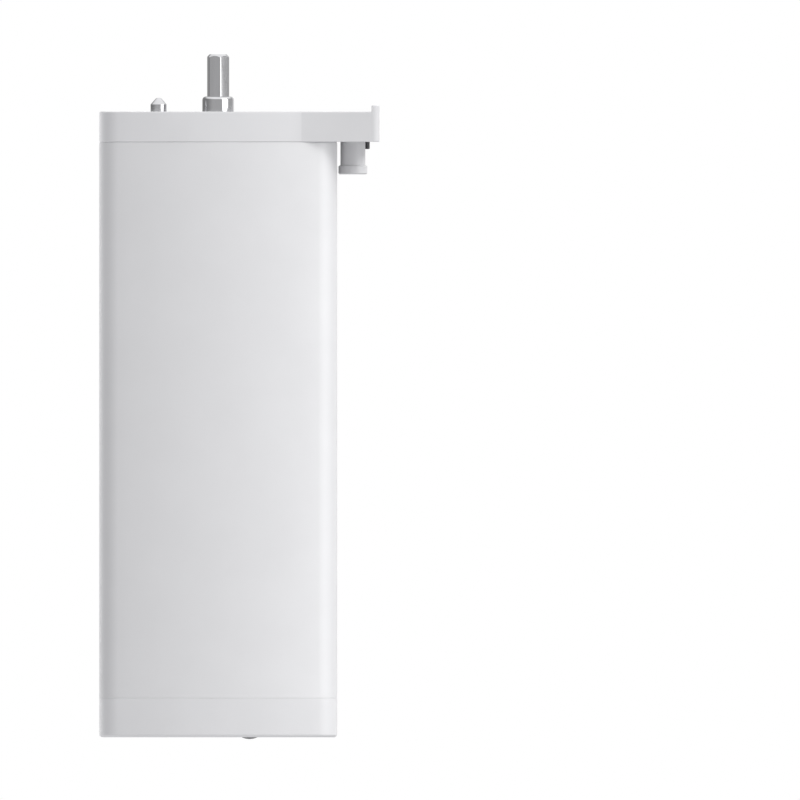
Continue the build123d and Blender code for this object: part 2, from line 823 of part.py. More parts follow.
# sprung locating pin and the barrel that holds it in the cover
barrel_bore = locating_flange / 2 + locating_play
barrel_bottom = -(barrel_lip + locating_flange_height + locating_travel + spring_turns * spring_wire
                  * spring_solid_share + barrel_floor)
flange_level = -barrel_lip
with BuildPart() as plunger_barrel:
    with BuildSketch(Plane.XY.offset(barrel_bottom)):
        with Locations((locating_x, 0)):
            Circle(barrel_radius)
    extrude(amount=-barrel_bottom)
    with BuildSketch(Plane.XY.offset(barrel_bottom + barrel_floor)):
        with Locations((locating_x, 0)):
            Circle(barrel_bore)
    extrude(amount=-barrel_bottom - barrel_floor - barrel_lip, mode=Mode.SUBTRACT)
    with BuildSketch():
        with Locations((locating_x, 0)):
            Circle(locating_diameter / 2 + locating_play)
    extrude(amount=-barrel_lip, mode=Mode.SUBTRACT)
plunger_barrel.part.label = "plunger_barrel"
export_step(plunger_barrel.part, "parts/plunger_barrel.step")

locating_plane = Plane(origin=(locating_x, 0, 0), x_dir=(1, 0, 0), z_dir=(0, -1, 0))
with BuildPart() as locating_pin:
    with BuildSketch(locating_plane):
        with BuildLine():
            Polyline(
                (0, flange_level - locating_flange_height),
                (locating_flange / 2, flange_level - locating_flange_height),
                (locating_flange / 2, flange_level),
                (locating_neck / 2, flange_level),
                (locating_neck / 2, 0),
                (locating_diameter / 2, 0),
                (locating_diameter / 2, locating_cylinder),
                (locating_tip / 2, locating_cylinder + locating_cone),
                (0, locating_cylinder + locating_cone),
                (0, flange_level - locating_flange_height),
            )
        make_face()
    revolve(axis=Axis((locating_x, 0, 0), (0, 0, 1)))
    fillet(locating_pin.edges().group_by(Axis.Z)[-1], locating_tip_round)
locating_pin.part.label = "locating_pin"
export_step(locating_pin.part, "parts/locating_pin.step")

spring_radius = barrel_bore - spring_clear - spring_wire / 2
spring_bottom = barrel_bottom + barrel_floor + spring_wire / 2 + spring_seat_gap
spring_top = flange_level - locating_flange_height - spring_wire / 2 - spring_seat_gap
spring_pitch = (spring_top - spring_bottom) / spring_turns
with BuildPart() as plunger_spring:
    with BuildLine() as coil:
        Helix(spring_pitch, spring_top - spring_bottom, spring_radius, center=(locating_x, 0, spring_bottom))
    with BuildSketch(Plane(origin=coil.line @ 0, z_dir=coil.line % 0)):
        Circle(spring_wire / 2)
    sweep(is_frenet=True)
plunger_spring.part.label = "plunger_spring"
export_step(plunger_spring.part, "parts/plunger_spring.step")

# output shaft: hexagonal end, round collar, bearing journal and a square for the carrier
hex_corner_radius = hex_across_flats / 2 / math.cos(math.pi / hex_sides)
with BuildPart() as output_shaft:
    with BuildSketch():
        Circle(collar_diameter / 2)
    extrude(amount=collar_top)
    fillet(output_shaft.edges().group_by(Axis.Z)[-1], collar_fillet)
    with BuildSketch(Plane.XY.offset(collar_top)):
        hexagon = RegularPolygon(hex_corner_radius, hex_sides, rotation=hex_turn - 90)
        fillet(hexagon.vertices(), hex_edge)
    extrude(amount=hex_top - collar_top)
    with BuildSketch(Plane.XZ):
        with BuildLine():
            Polyline(
                (hex_corner_radius - hex_chamfer, hex_top),
                (hex_corner_radius, hex_top),
                (hex_corner_radius, hex_top - hex_chamfer),
                close=True,
            )
        make_face()
    revolve(axis=Axis.Z, mode=Mode.SUBTRACT)
    with BuildSketch(Plane.XY.offset(bearing_top)):
        Circle(neck_diameter / 2)
    extrude(amount=-bearing_top)
    with BuildSketch(Plane.XY.offset(carrier_top)):
        Circle(bearing_bore / 2)
    extrude(amount=bearing_top - carrier_top)
    with BuildSketch(Plane.XY.offset(carrier_bottom)):
        Rectangle(shaft_square, shaft_square)
    extrude(amount=carrier_thickness)
output_shaft.part.label = "output_shaft"
export_step(output_shaft.part, "parts/output_shaft.step")

# ball bearing: two races and a ring of balls
bearing_middle = (bearing_top + bearing_bottom) / 2
ball_pitch_radius = (bearing_bore + bearing_diameter) / 4
race_groove_radius = ball_diameter / 2 + ball_play
inner_race_radius = bearing_bore / 2 + race_wall
outer_race_radius = bearing_diameter / 2 - race_wall
race_groove = Plane(origin=(ball_pitch_radius, 0, bearing_middle), x_dir=(1, 0, 0), z_dir=(0, -1, 0))
with BuildPart() as bearing_inner_ring:
    with BuildSketch(Plane.XY.offset(bearing_bottom)):
        Circle(inner_race_radius)
        Circle(bearing_bore / 2, mode=Mode.SUBTRACT)
    extrude(amount=bearing_width)
    with BuildSketch(race_groove):
        Circle(race_groove_radius)
    revolve(axis=Axis.Z, mode=Mode.SUBTRACT)
bearing_inner_ring.part.label = "bearing_inner_ring"
export_step(bearing_inner_ring.part, "parts/bearing_inner_ring.step")

with BuildPart() as bearing_outer_ring:
    with BuildSketch(Plane.XY.offset(bearing_bottom)):
        Circle(bearing_diameter / 2)
        Circle(outer_race_radius, mode=Mode.SUBTRACT)
    extrude(amount=bearing_width)
    with BuildSketch(race_groove):
        Circle(race_groove_radius)
    revolve(axis=Axis.Z, mode=Mode.SUBTRACT)
bearing_outer_ring.part.label = "bearing_outer_ring"
export_step(bearing_outer_ring.part, "parts/bearing_outer_ring.step")

with BuildPart() as bearing_balls:
    with Locations((0, 0, bearing_middle)):
        with PolarLocations(ball_pitch_radius, ball_count):
            Sphere(ball_diameter / 2)
bearing_balls.part.label = "bearing_balls"
export_step(bearing_balls.part, "parts/bearing_balls.step")

with BuildPart() as output_bush:
    with BuildSketch(Plane.XY.offset(flange_bottom)):
        Circle(bush_radius)
        Circle(bearing_bore / 2 + running_play, mode=Mode.SUBTRACT)
    extrude(amount=bush_length)
output_bush.part.label = "output_bush"
export_step(output_bush.part, "parts/output_bush.step")

# gearbox plates and ring gear, clamped to the cover by four long screws
with BuildPart() as gearbox_front_plate:
    with BuildSketch(Plane.XY.offset(flange_bottom)):
        add(plate_outline())
    extrude(amount=flange_thickness)
    with BuildSketch(Plane.XY.offset(flange_top)):
        Circle(hub_radius)
    extrude(amount=roof_bottom - flange_top)
    with BuildSketch(Plane.XY.offset(flange_bottom)):
        Circle(bush_radius)
        with Locations(*ear_spots):
            Circle(gearbox_hole_radius + gearbox_thread_play)
    extrude(amount=bush_length, mode=Mode.SUBTRACT)
    with BuildSketch(Plane.XY.offset(bush_top)):
        Circle(bearing_diameter / 2 - race_wall)
    extrude(amount=bearing_bottom - bush_top, mode=Mode.SUBTRACT)
    with BuildSketch(Plane.XY.offset(bearing_bottom)):
        Circle(bearing_diameter / 2)
    extrude(amount=roof_bottom - bearing_bottom, mode=Mode.SUBTRACT)
gearbox_front_plate.part.label = "gearbox_front_plate"
export_step(gearbox_front_plate.part, "parts/gearbox_front_plate.step")

ring_hole = ring_gear_hole()
with BuildPart() as ring_gear:
    with BuildSketch(Plane.XY.offset(rear_plate_top)):
        add(plate_outline())
        add(ring_hole, mode=Mode.SUBTRACT)
        with Locations(*ear_spots):
            Circle(gearbox_hole_radius + gearbox_thread_play, mode=Mode.SUBTRACT)
    extrude(amount=flange_bottom - rear_plate_top)
ring_gear.part.label = "ring_gear"
export_step(ring_gear.part, "parts/ring_gear.step")

motor_screw_spots = [(x, 0) for x in (-motor_screw_spacing / 2, motor_screw_spacing / 2)]
motor_screw_sink = (motor_screw_head - motor_screw_thread) / 2
with BuildPart() as gearbox_rear_plate:
    with BuildSketch(Plane.XY.offset(rear_plate_bottom)):
        add(plate_outline())
        Circle(motor_bush_diameter / 2 + motor_boss_play, mode=Mode.SUBTRACT)
        with Locations(*ear_spots):
            Circle(gearbox_hole_radius + gearbox_thread_play, mode=Mode.SUBTRACT)
    extrude(amount=rear_plate_thickness)
    with Locations(*[(x, y, rear_plate_top) for x, y in motor_screw_spots]):
        CounterSinkHole(
            motor_screw_thread / 2 + screw_hole_play,
            motor_screw_head / 2 + screw_hole_play,
            rear_plate_thickness,
            counter_sink_angle=90,
        )
gearbox_rear_plate.part.label = "gearbox_rear_plate"
export_step(gearbox_rear_plate.part, "parts/gearbox_rear_plate.step")

gearbox_screw_length = flange_top + gearbox_screw_bite - rear_plate_bottom
gearbox_screw = cross_screw(gearbox_thread, gearbox_head, gearbox_head_height, gearbox_screw_length)
with BuildPart() as gearbox_screws:
    with Locations(*[Location((x, y, rear_plate_bottom), (180, 0, 0)) for x, y in ear_spots]):
        add(gearbox_screw)
gearbox_screws.part.label = "gearbox_screws"
export_step(gearbox_screws.part, "parts/gearbox_screws.step")

motor_screw_top = rear_plate_top - motor_screw_seat
motor_recess_scale = motor_screw_head / screw_head
with BuildPart() as motor_screws:
    with Locations(*[(x, y, motor_screw_top - motor_screw_length / 2) for x, y in motor_screw_spots]):
        Cylinder(motor_screw_thread / 2, motor_screw_length)
    with Locations(*[(x, y, motor_screw_top - motor_screw_sink / 2) for x, y in motor_screw_spots]):
        Cone(motor_screw_thread / 2, motor_screw_head / 2, motor_screw_sink)
    with BuildSketch(Plane.XY.offset(motor_screw_top)):
        with Locations(*motor_screw_spots):
            Rectangle(screw_recess_length * motor_recess_scale, screw_recess_width * motor_recess_scale)
            Rectangle(screw_recess_width * motor_recess_scale, screw_recess_length * motor_recess_scale)
    extrude(amount=-screw_recess_depth * motor_recess_scale, mode=Mode.SUBTRACT)
motor_screws.part.label = "motor_screws"
export_step(motor_screws.part, "parts/motor_screws.step")

# planet carriers with their pins, and the second stage's sun on the first carrier
pin_radius = planet_pin_diameter / 2
planet_spots = [
    (planet_distance * math.cos(math.radians(angle)), planet_distance * math.sin(math.radians(angle)))
    for angle in planet_angles
]


def carrier_disc(bottom, hole):
    """A planet carrier: a disc with a hole for its shaft and holes for its pins."""
    with BuildPart() as disc:
        with BuildSketch(Plane.XY.offset(bottom)):
            Circle(carrier_radius)
            add(hole, mode=Mode.SUBTRACT)
            with Locations(*planet_spots):
                Circle(pin_radius, mode=Mode.SUBTRACT)
        extrude(amount=carrier_thickness)
    return disc


def carrier_pins(bottom, top):
    """The pins that a stage's planets turn on."""
    with BuildPart() as pins:
        with BuildSketch(Plane.XY.offset(bottom)):
            with Locations(*planet_spots):
                Circle(pin_radius)
        extrude(amount=top - bottom)
    return pins


with BuildSketch() as square_hole:
    Rectangle(shaft_square, shaft_square)
output_carrier = carrier_disc(carrier_bottom, square_hole.sketch)
output_carrier.part.label = "output_carrier"
export_step(output_carrier.part, "parts/output_carrier.step")
output_pins = carrier_pins(second_planet_bottom - stage_gap, carrier_top)
output_pins.part.label = "output_pins"
export_step(output_pins.part, "parts/output_pins.step")

with BuildSketch() as spigot_hole:
    Circle(sun_spigot / 2)
first_carrier = carrier_disc(first_carrier_bottom, spigot_hole.sketch)
first_carrier.part.label = "first_carrier"
export_step(first_carrier.part, "parts/first_carrier.step")
first_pins = carrier_pins(first_planet_bottom - stage_gap, first_carrier_top)
first_pins.part.label = "first_pins"
export_step(first_pins.part, "parts/first_pins.step")

sun_outline = outer_gear(sun_teeth, motor_shaft_radius)
with BuildPart() as second_sun:
    with BuildSketch(Plane.XY.offset(first_carrier_top)):
        with Locations(Location((0, 0), sun_turn)):
            add(sun_outline)
    extrude(amount=carrier_bottom - stage_gap - first_carrier_top)
    with BuildSketch(Plane.XY.offset(first_carrier_bottom)):
        Circle(sun_spigot / 2)
        Circle(motor_shaft_radius, mode=Mode.SUBTRACT)
    extrude(amount=carrier_thickness)
second_sun.part.label = "second_sun"
export_step(second_sun.part, "parts/second_sun.step")

with BuildPart() as first_sun:
    with BuildSketch(Plane.XY.offset(first_planet_bottom)):
        with Locations(Location((0, 0), sun_turn)):
            add(sun_outline)
    extrude(amount=gear_face)
first_sun.part.label = "first_sun"
export_step(first_sun.part, "parts/first_sun.step")

# three planets in each stage
planet_outline = outer_gear(planet_teeth, pin_radius + planet_bore_play)
for stage, level in (("first", first_planet_bottom), ("second", second_planet_bottom)):
    for number, (spot, angle) in enumerate(zip(planet_spots, planet_angles), 1):
        planet_turn = angle * (1 - ring_teeth / planet_teeth)
        with BuildPart() as planet:
            with BuildSketch(Plane.XY.offset(level)):
                with Locations(Location(spot, planet_turn)):
                    add(planet_outline)
            extrude(amount=gear_face)
        planet.part.label = f"{stage}_planet_{number}"
        export_step(planet.part, f"parts/{stage}_planet_{number}.step")

# motor can, magnets, end cap and bushes
with BuildPart() as motor_can:
    with BuildSketch(Plane.XY.offset(can_bottom)):
        Circle(can_radius)
    extrude(amount=can_length)
    fillet(motor_can.edges().group_by(Axis.Z)[-1], can_edge)
    with BuildSketch(Plane.XY.offset(can_bottom)):
        Circle(can_bore)
    extrude(amount=can_length - can_wall, mode=Mode.SUBTRACT)
    with BuildSketch(Plane.XY.offset(can_top - motor_bush_length)):
        Circle(motor_bush_diameter / 2 + motor_boss_wall)
    extrude(amount=motor_bush_length)
    with BuildSketch(Plane.XY.offset(can_top - motor_bush_length)):
        Circle(motor_bush_diameter / 2)
        with Locations(*motor_screw_spots):
            Circle(motor_screw_thread / 2)
    extrude(amount=motor_bush_length, mode=Mode.SUBTRACT)
motor_can.part.label = "motor_can"
export_step(motor_can.part, "parts/motor_can.step")

magnet_outer = can_bore - magnet_play
magnet_inner = magnet_outer - magnet_thickness
with BuildPart() as motor_magnets:
    with BuildSketch(Plane.XY.offset(magnet_bottom)):
        for index in range(magnet_count):
            magnet_start = 360 / magnet_count * index - magnet_angle / 2
            with BuildLine():
                first = CenterArc((0, 0), magnet_outer, magnet_start, magnet_angle)
                second = CenterArc((0, 0), magnet_inner, magnet_start, magnet_angle)
                Line(first @ 0, second @ 0)
                Line(first @ 1, second @ 1)
            make_face()
    extrude(amount=magnet_top - magnet_bottom)
motor_magnets.part.label = "motor_magnets"
export_step(motor_magnets.part, "parts/motor_magnets.step")

brush_level = commutator_top - commutator_length / 2
brush_start = commutator_diameter / 2 + brush_play
holder_width = brush_width + 2 * (brush_play + brush_holder_wall)
with BuildPart() as motor_end_cap:
    with BuildSketch(Plane.XY.offset(end_cap_bottom)):
        Circle(can_radius - end_cap_inset)
    extrude(amount=end_cap_thickness)
    with BuildSketch(Plane.XY.offset(can_bottom)):
        Circle(can_bore - end_cap_play)
    extrude(amount=end_cap_spigot)
    # brush holders that stand in front of the cap on both sides of the commutator
    for side in (-1, 1):
        with BuildSketch(Plane.XY.offset(can_bottom + end_cap_spigot)):
            with Locations((0, side * (brush_start + brush_holder_setback + brush_length / 2))):
                Rectangle(holder_width, brush_length)
        extrude(amount=brush_level + holder_width / 2 - can_bottom - end_cap_spigot)
        with BuildSketch(Plane.XZ):
            with Locations((0, brush_level)):
                Rectangle(brush_width + 2 * brush_play, brush_width + 2 * brush_play)
        extrude(amount=-side * can_bore, mode=Mode.SUBTRACT)
    with BuildSketch(Plane.XY.offset(end_cap_bottom)):
        Circle(motor_bush_diameter / 2)
        with Locations((-terminal_x, terminal_y), (terminal_x, terminal_y)):
            Rectangle(terminal_width, terminal_thickness)
    extrude(amount=end_cap_thickness + end_cap_spigot, mode=Mode.SUBTRACT)
    # posts that carry the sensor board
    with BuildSketch(Plane.XY.offset(sensor_board_top)):
        with Locations((-sensor_post_spacing / 2, 0), (sensor_post_spacing / 2, 0)):
            Circle(sensor_post_radius)
    extrude(amount=end_cap_bottom - sensor_board_top)
motor_end_cap.part.label = "motor_end_cap"
export_step(motor_end_cap.part, "parts/motor_end_cap.step")

with BuildPart() as motor_bushes:
    with BuildSketch(Plane.XY.offset(can_top - motor_bush_length)):
        Circle(motor_bush_diameter / 2)
        Circle(motor_shaft_radius + motor_bush_play, mode=Mode.SUBTRACT)
    extrude(amount=motor_bush_length)
    with BuildSketch(Plane.XY.offset(end_cap_bottom)):
        Circle(motor_bush_diameter / 2)
        Circle(motor_shaft_radius + motor_bush_play, mode=Mode.SUBTRACT)
    extrude(amount=motor_bush_length)
motor_bushes.part.label = "motor_bushes"
export_step(motor_bushes.part, "parts/motor_bushes.step")

with BuildPart() as motor_brushes:
    with Locations(
        (0, -(brush_start + brush_length / 2), brush_level),
        (0, brush_start + brush_length / 2, brush_level),
    ):
        Box(brush_width, brush_length, brush_width)
motor_brushes.part.label = "motor_brushes"
export_step(motor_brushes.part, "parts/motor_brushes.step")

with BuildPart() as motor_terminals:
    with BuildSketch(Plane.XY.offset(end_cap_bottom - terminal_length)):
        with Locations((-terminal_x, terminal_y), (terminal_x, terminal_y)):
            Rectangle(terminal_width, terminal_thickness)
    extrude(amount=terminal_length + end_cap_thickness)
motor_terminals.part.label = "motor_terminals"
export_step(motor_terminals.part, "parts/motor_terminals.step")

# rubber block round the motor that steadies it between the tube's front and back walls
with BuildPart() as motor_damper:
    with BuildSketch(Plane.XY.offset(can_bottom + damper_start)):
        add(body_outline(tube_wall + damper_gap))
        Rectangle(2 * (can_radius + damper_side), body_depth, mode=Mode.INTERSECT)
        Circle(can_radius, mode=Mode.SUBTRACT)
    extrude(amount=damper_length)
motor_damper.part.label = "motor_damper"
export_step(motor_damper.part, "parts/motor_damper.step")

# rotor: shaft, core with five poles, windings, commutator and sensor magnet
with BuildPart() as rotor_shaft:
    with BuildSketch(Plane.XY.offset(sensor_magnet_bottom)):
        Circle(motor_shaft_radius)
    extrude(amount=first_planet_top - sensor_magnet_bottom)
    chamfer(rotor_shaft.edges().group_by(Axis.Z)[-1], motor_shaft_edge)
    chamfer(rotor_shaft.edges().group_by(Axis.Z)[0], motor_shaft_edge)
rotor_shaft.part.label = "rotor_shaft"
export_step(rotor_shaft.part, "parts/rotor_shaft.step")

pole_angles = [360 / pole_count * index for index in range(pole_count)]
with BuildPart() as rotor_core:
    with BuildSketch(Plane.XY.offset(core_bottom)):
        Circle(core_hub)
        for angle in pole_angles:
            with Locations(Rot(0, 0, angle) * Pos(rotor_radius / 2, 0)):
                Rectangle(rotor_radius - pole_shoe, pole_arm)
            with BuildLine():
                outer = CenterArc((0, 0), rotor_radius, angle - pole_shoe_angle / 2, pole_shoe_angle)
                inner = CenterArc(
                    (0, 0), rotor_radius - pole_shoe, angle - pole_shoe_angle / 2, pole_shoe_angle
                )
                Line(outer @ 0, inner @ 0)
                Line(outer @ 1, inner @ 1)
            make_face()
        Circle(motor_shaft_radius, mode=Mode.SUBTRACT)
    extrude(amount=core_length)
rotor_core.part.label = "rotor_core"
export_step(rotor_core.part, "parts/rotor_core.step")

coil_width = pole_arm + 2 * (winding_play + winding_thickness)
coil_inner = core_hub + coil_hub_gap
coil_outer = math.sqrt((rotor_radius - pole_shoe - coil_shoe_gap) ** 2 - (coil_width / 2) ** 2)
coil_height = core_length + 2 * (winding_play + winding_thickness)
coil_bottom = core_bottom - winding_play - winding_thickness
with BuildPart() as rotor_windings:
    for angle in pole_angles:
        with BuildSketch(spoke_plane(angle, (coil_inner + coil_outer) / 2, coil_bottom)):
            Rectangle(coil_outer - coil_inner, coil_width)
        extrude(amount=coil_height)
    for angle in pole_angles:
        with BuildSketch(spoke_plane(angle, (coil_inner + coil_outer) / 2, core_bottom - winding_play)):
            Rectangle(coil_outer - coil_inner + coil_hub_gap, pole_arm + 2 * winding_play)
        extrude(amount=core_length + 2 * winding_play, mode=Mode.SUBTRACT)
rotor_windings.part.label = "rotor_windings"
export_step(rotor_windings.part, "parts/rotor_windings.step")

with BuildPart() as commutator:
    with BuildSketch(Plane.XY.offset(commutator_bottom)):
        Circle(commutator_diameter / 2)
        for angle in pole_angles:
            with Locations(Rot(0, 0, angle + 180 / pole_count) * Pos(commutator_diameter / 2, 0)):
                Rectangle(2 * commutator_slot_depth, commutator_slot_width, mode=Mode.SUBTRACT)
        Circle(motor_shaft_radius, mode=Mode.SUBTRACT)
    extrude(amount=commutator_length)
commutator.part.label = "commutator"
export_step(commutator.part, "parts/commutator.step")

with BuildPart() as sensor_magnet:
    with BuildSketch(Plane.XY.offset(sensor_magnet_bottom)):
        Circle(sensor_magnet_diameter / 2)
        Circle(motor_shaft_radius, mode=Mode.SUBTRACT)
    extrude(amount=sensor_magnet_length)
sensor_magnet.part.label = "sensor_magnet"
export_step(sensor_magnet.part, "parts/sensor_magnet.step")

with BuildPart() as sensor_board:
    with BuildSketch(Plane.XY.offset(sensor_board_bottom)):
        RectangleRounded(sensor_board_length, sensor_board_width, sensor_board_corner)
    extrude(amount=board_thickness)
    with Locations((sensor_magnet_diameter / 2 - sensor_chip_size / 2, 0, sensor_board_top)):
        Box(sensor_chip_size, sensor_chip_size, 2 * sensor_chip_height)
sensor_board.part.label = "sensor_board"
export_step(sensor_board.part, "parts/sensor_board.step")

# control board in the tube's rails, and what is soldered to it
board_width = body_width - 2 * tube_wall - 2 * board_side_gap
board_front = board_y - board_thickness / 2
capacitor_x = board_width / 2 - capacitor_inset
module_x = module_inset - board_width / 2
with BuildPart() as control_board:
    with Locations((0, board_y, (board_top + board_bottom) / 2)):
        Box(board_width, board_thickness, board_length)
control_board.part.label = "control_board"
export_step(control_board.part, "parts/control_board.step")


def on_board(x, level, height):
    """The centre of a part that stands on the board's front face."""
    return (x, board_front - height / 2, level)


with BuildPart() as board_chips:
    with Locations(on_board(controller_x, board_top - controller_down, controller_height)):
        Box(controller_size, controller_height, controller_size)
    with Locations(on_board(controller_x, board_top - driver_down, driver_height)):
        Box(driver_width, driver_height, driver_length)
    with Locations(*[on_board(x, board_top - regulator_down, driver_height) for x in regulator_spots_x]):
        Box(regulator_width, driver_height, regulator_length)
    with Locations(*[on_board(x, board_top - resistor_down, resistor_height) for x in resistor_spots_x]):
        Box(resistor_length, resistor_height, resistor_width)
board_chips.part.label = "board_chips"
export_step(board_chips.part, "parts/board_chips.step")

with BuildPart() as filter_capacitors:
    with BuildSketch(Plane.XZ.offset(-board_front)):
        with Locations(*[(capacitor_x, board_top - down) for down in capacitors_down]):
            Circle(capacitor_radius)
    extrude(amount=capacitor_height)
    fillet(filter_capacitors.edges().group_by(Axis.Y)[0], capacitor_edge)
filter_capacitors.part.label = "filter_capacitors"
export_step(filter_capacitors.part, "parts/filter_capacitors.step")

choke_levels = (0, choke_flange, choke_height - choke_flange, choke_height)
choke_radii = (choke_radius, choke_core_radius, choke_radius)
with BuildPart() as power_choke:
    for near, far, radius in zip(choke_levels, choke_levels[1:], choke_radii):
        with BuildSketch(Plane.XZ.offset(near - board_front)):
            with Locations((capacitor_x, board_top - choke_down)):
                Circle(radius)
        extrude(amount=far - near)
power_choke.part.label = "power_choke"
export_step(power_choke.part, "parts/power_choke.step")

with BuildPart() as radio_module:
    with Locations(on_board(module_x, board_top - module_down, module_thickness)):
        Box(module_width, module_thickness, module_length)
    with Locations((module_x, board_front - module_thickness - shield_height / 2, board_top - shield_down)):
        Box(shield_width, shield_height, shield_length)
radio_module.part.label = "radio_module"
export_step(radio_module.part, "parts/radio_module.step")

inlet_socket_x = body_width / 2 - inlet_socket_side_gap
socket_level = board_top - socket_edge_gap - socket_length / 2
with BuildPart() as board_sockets:
    with Locations(*[on_board(x, socket_level, socket_height)
                     for x in (inlet_socket_x, motor_socket_x, sensor_socket_x)]):
        Box(socket_width, socket_height, socket_length)
board_sockets.part.label = "board_sockets"
export_step(board_sockets.part, "parts/board_sockets.step")

# set button: a domed cap on a stem that presses the switch at the board's lower edge
button_plane = Plane(origin=(button_x, 0, 0), x_dir=(1, 0, 0), z_dir=(0, -1, 0))
floor_top = body_bottom + cap_floor
switch_hole_radius = button_stem / 2 + button_play
with BuildPart() as set_button:
    with BuildSketch(button_plane):
        with BuildLine():
            TangentArc((0, body_bottom - button_dome), (button_diameter / 2, body_bottom), tangent=(1, 0))
            Polyline(
                (button_diameter / 2, body_bottom),
                (button_diameter / 2, floor_top),
                (button_flange / 2, floor_top),
                (button_flange / 2, floor_top + button_flange_height),
                (button_stem / 2, floor_top + button_flange_height),
                (button_stem / 2, switch_bottom + switch_plunger_reach),
                (0, switch_bottom + switch_plunger_reach),
                (0, body_bottom - button_dome),
            )
        make_face()
    revolve(axis=Axis((button_x, 0, 0), (0, 0, 1)))
set_button.part.label = "set_button"
export_step(set_button.part, "parts/set_button.step")

switch_depth = board_front + switch_body / 2
with BuildPart() as button_switch:
    with Locations((button_x, board_front - switch_depth / 2, switch_bottom + switch_height / 2)):
        Box(switch_body, switch_depth, switch_height)
    with BuildSketch(Plane.XY.offset(switch_bottom)):
        with Locations((button_x, 0)):
            Circle(switch_hole_radius)
    extrude(amount=switch_plunger_reach + button_travel + switch_spare, mode=Mode.SUBTRACT)
button_switch.part.label = "button_switch"
export_step(button_switch.part, "parts/button_switch.step")

light_x = button_x + switch_body / 2 + light_gap + light_size / 2
with BuildPart() as status_light:
    with Locations(on_board(light_x, board_bottom + light_size / 2, light_size)):
        Box(light_size, light_size, light_size)
status_light.part.label = "status_light"
export_step(status_light.part, "parts/status_light.step")


def lead(bend, *points):
    """One insulated wire along a route with rounded corners."""
    with BuildPart() as wire:
        with BuildLine() as route:
            FilletPolyline(*points, radius=bend)
        with BuildSketch(Plane(origin=route.line @ 0, z_dir=route.line % 0)):
            Circle(lead_diameter / 2)
        sweep()
    return wire.part


# leads from the inlet, down the tube's side wall and across to the board
lead_run_x = body_width / 2 - tube_wall - lead_run_gap - lead_diameter / 2
socket_top = board_top - socket_edge_gap
socket_middle = board_front - socket_height / 2
inlet_wires = []
for side in (-1, 1):
    wire_y = side * lead_spacing / 2
    wire_x = inlet_socket_x + side * lead_spacing / 2
    inlet_wires.append(
        lead(
            lead_bend,
            (inlet_x, wire_y, lead_level),
            (lead_run_x, wire_y, lead_level),
            (lead_run_x, wire_y, socket_top + lead_turn + lead_drop),
            (wire_x, socket_middle + wire_y / 2, socket_top + lead_turn),
            (wire_x, socket_middle + wire_y / 2, socket_top),
        )
    )
with BuildPart() as inlet_leads:
    for wire in inlet_wires:
        add(wire)
inlet_leads.part.label = "inlet_leads"
export_step(inlet_leads.part, "parts/inlet_leads.step")

# leads from the motor's terminals and from the speed sensor
motor_wires = []
for side in (-1, 1):
    wire_x = motor_socket_x + side * lead_spacing / 2
    motor_wires.append(
        lead(
            lead_bend,
            (side * terminal_x, terminal_y, end_cap_bottom - terminal_length),
            (side * terminal_x, terminal_y, socket_top + lead_turn),
            (wire_x, socket_middle, socket_top + lead_turn),
            (wire_x, socket_middle, socket_top),
        )
    )
for step in (-1, 0, 1):
    wire_x = sensor_socket_x + step * sensor_lead_spacing
    motor_wires.append(
        lead(
            sensor_lead_bend,
            (wire_x, 0, sensor_board_bottom),
            (wire_x, 0, sensor_board_bottom - sensor_lead_turn),
            (wire_x, socket_middle, socket_top + sensor_lead_turn),
            (wire_x, socket_middle, socket_top),
        )
    )
with BuildPart() as motor_leads:
    for wire in motor_wires:
        add(wire)
motor_leads.part.label = "motor_leads"
export_step(motor_leads.part, "parts/motor_leads.step")
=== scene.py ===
"""A curtain motor in a plain studio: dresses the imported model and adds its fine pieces."""

from __future__ import annotations

import json
import logging
import math
from dataclasses import dataclass
from enum import Enum
from typing import Any

import bmesh
import bpy
from mathutils import Matrix, Vector

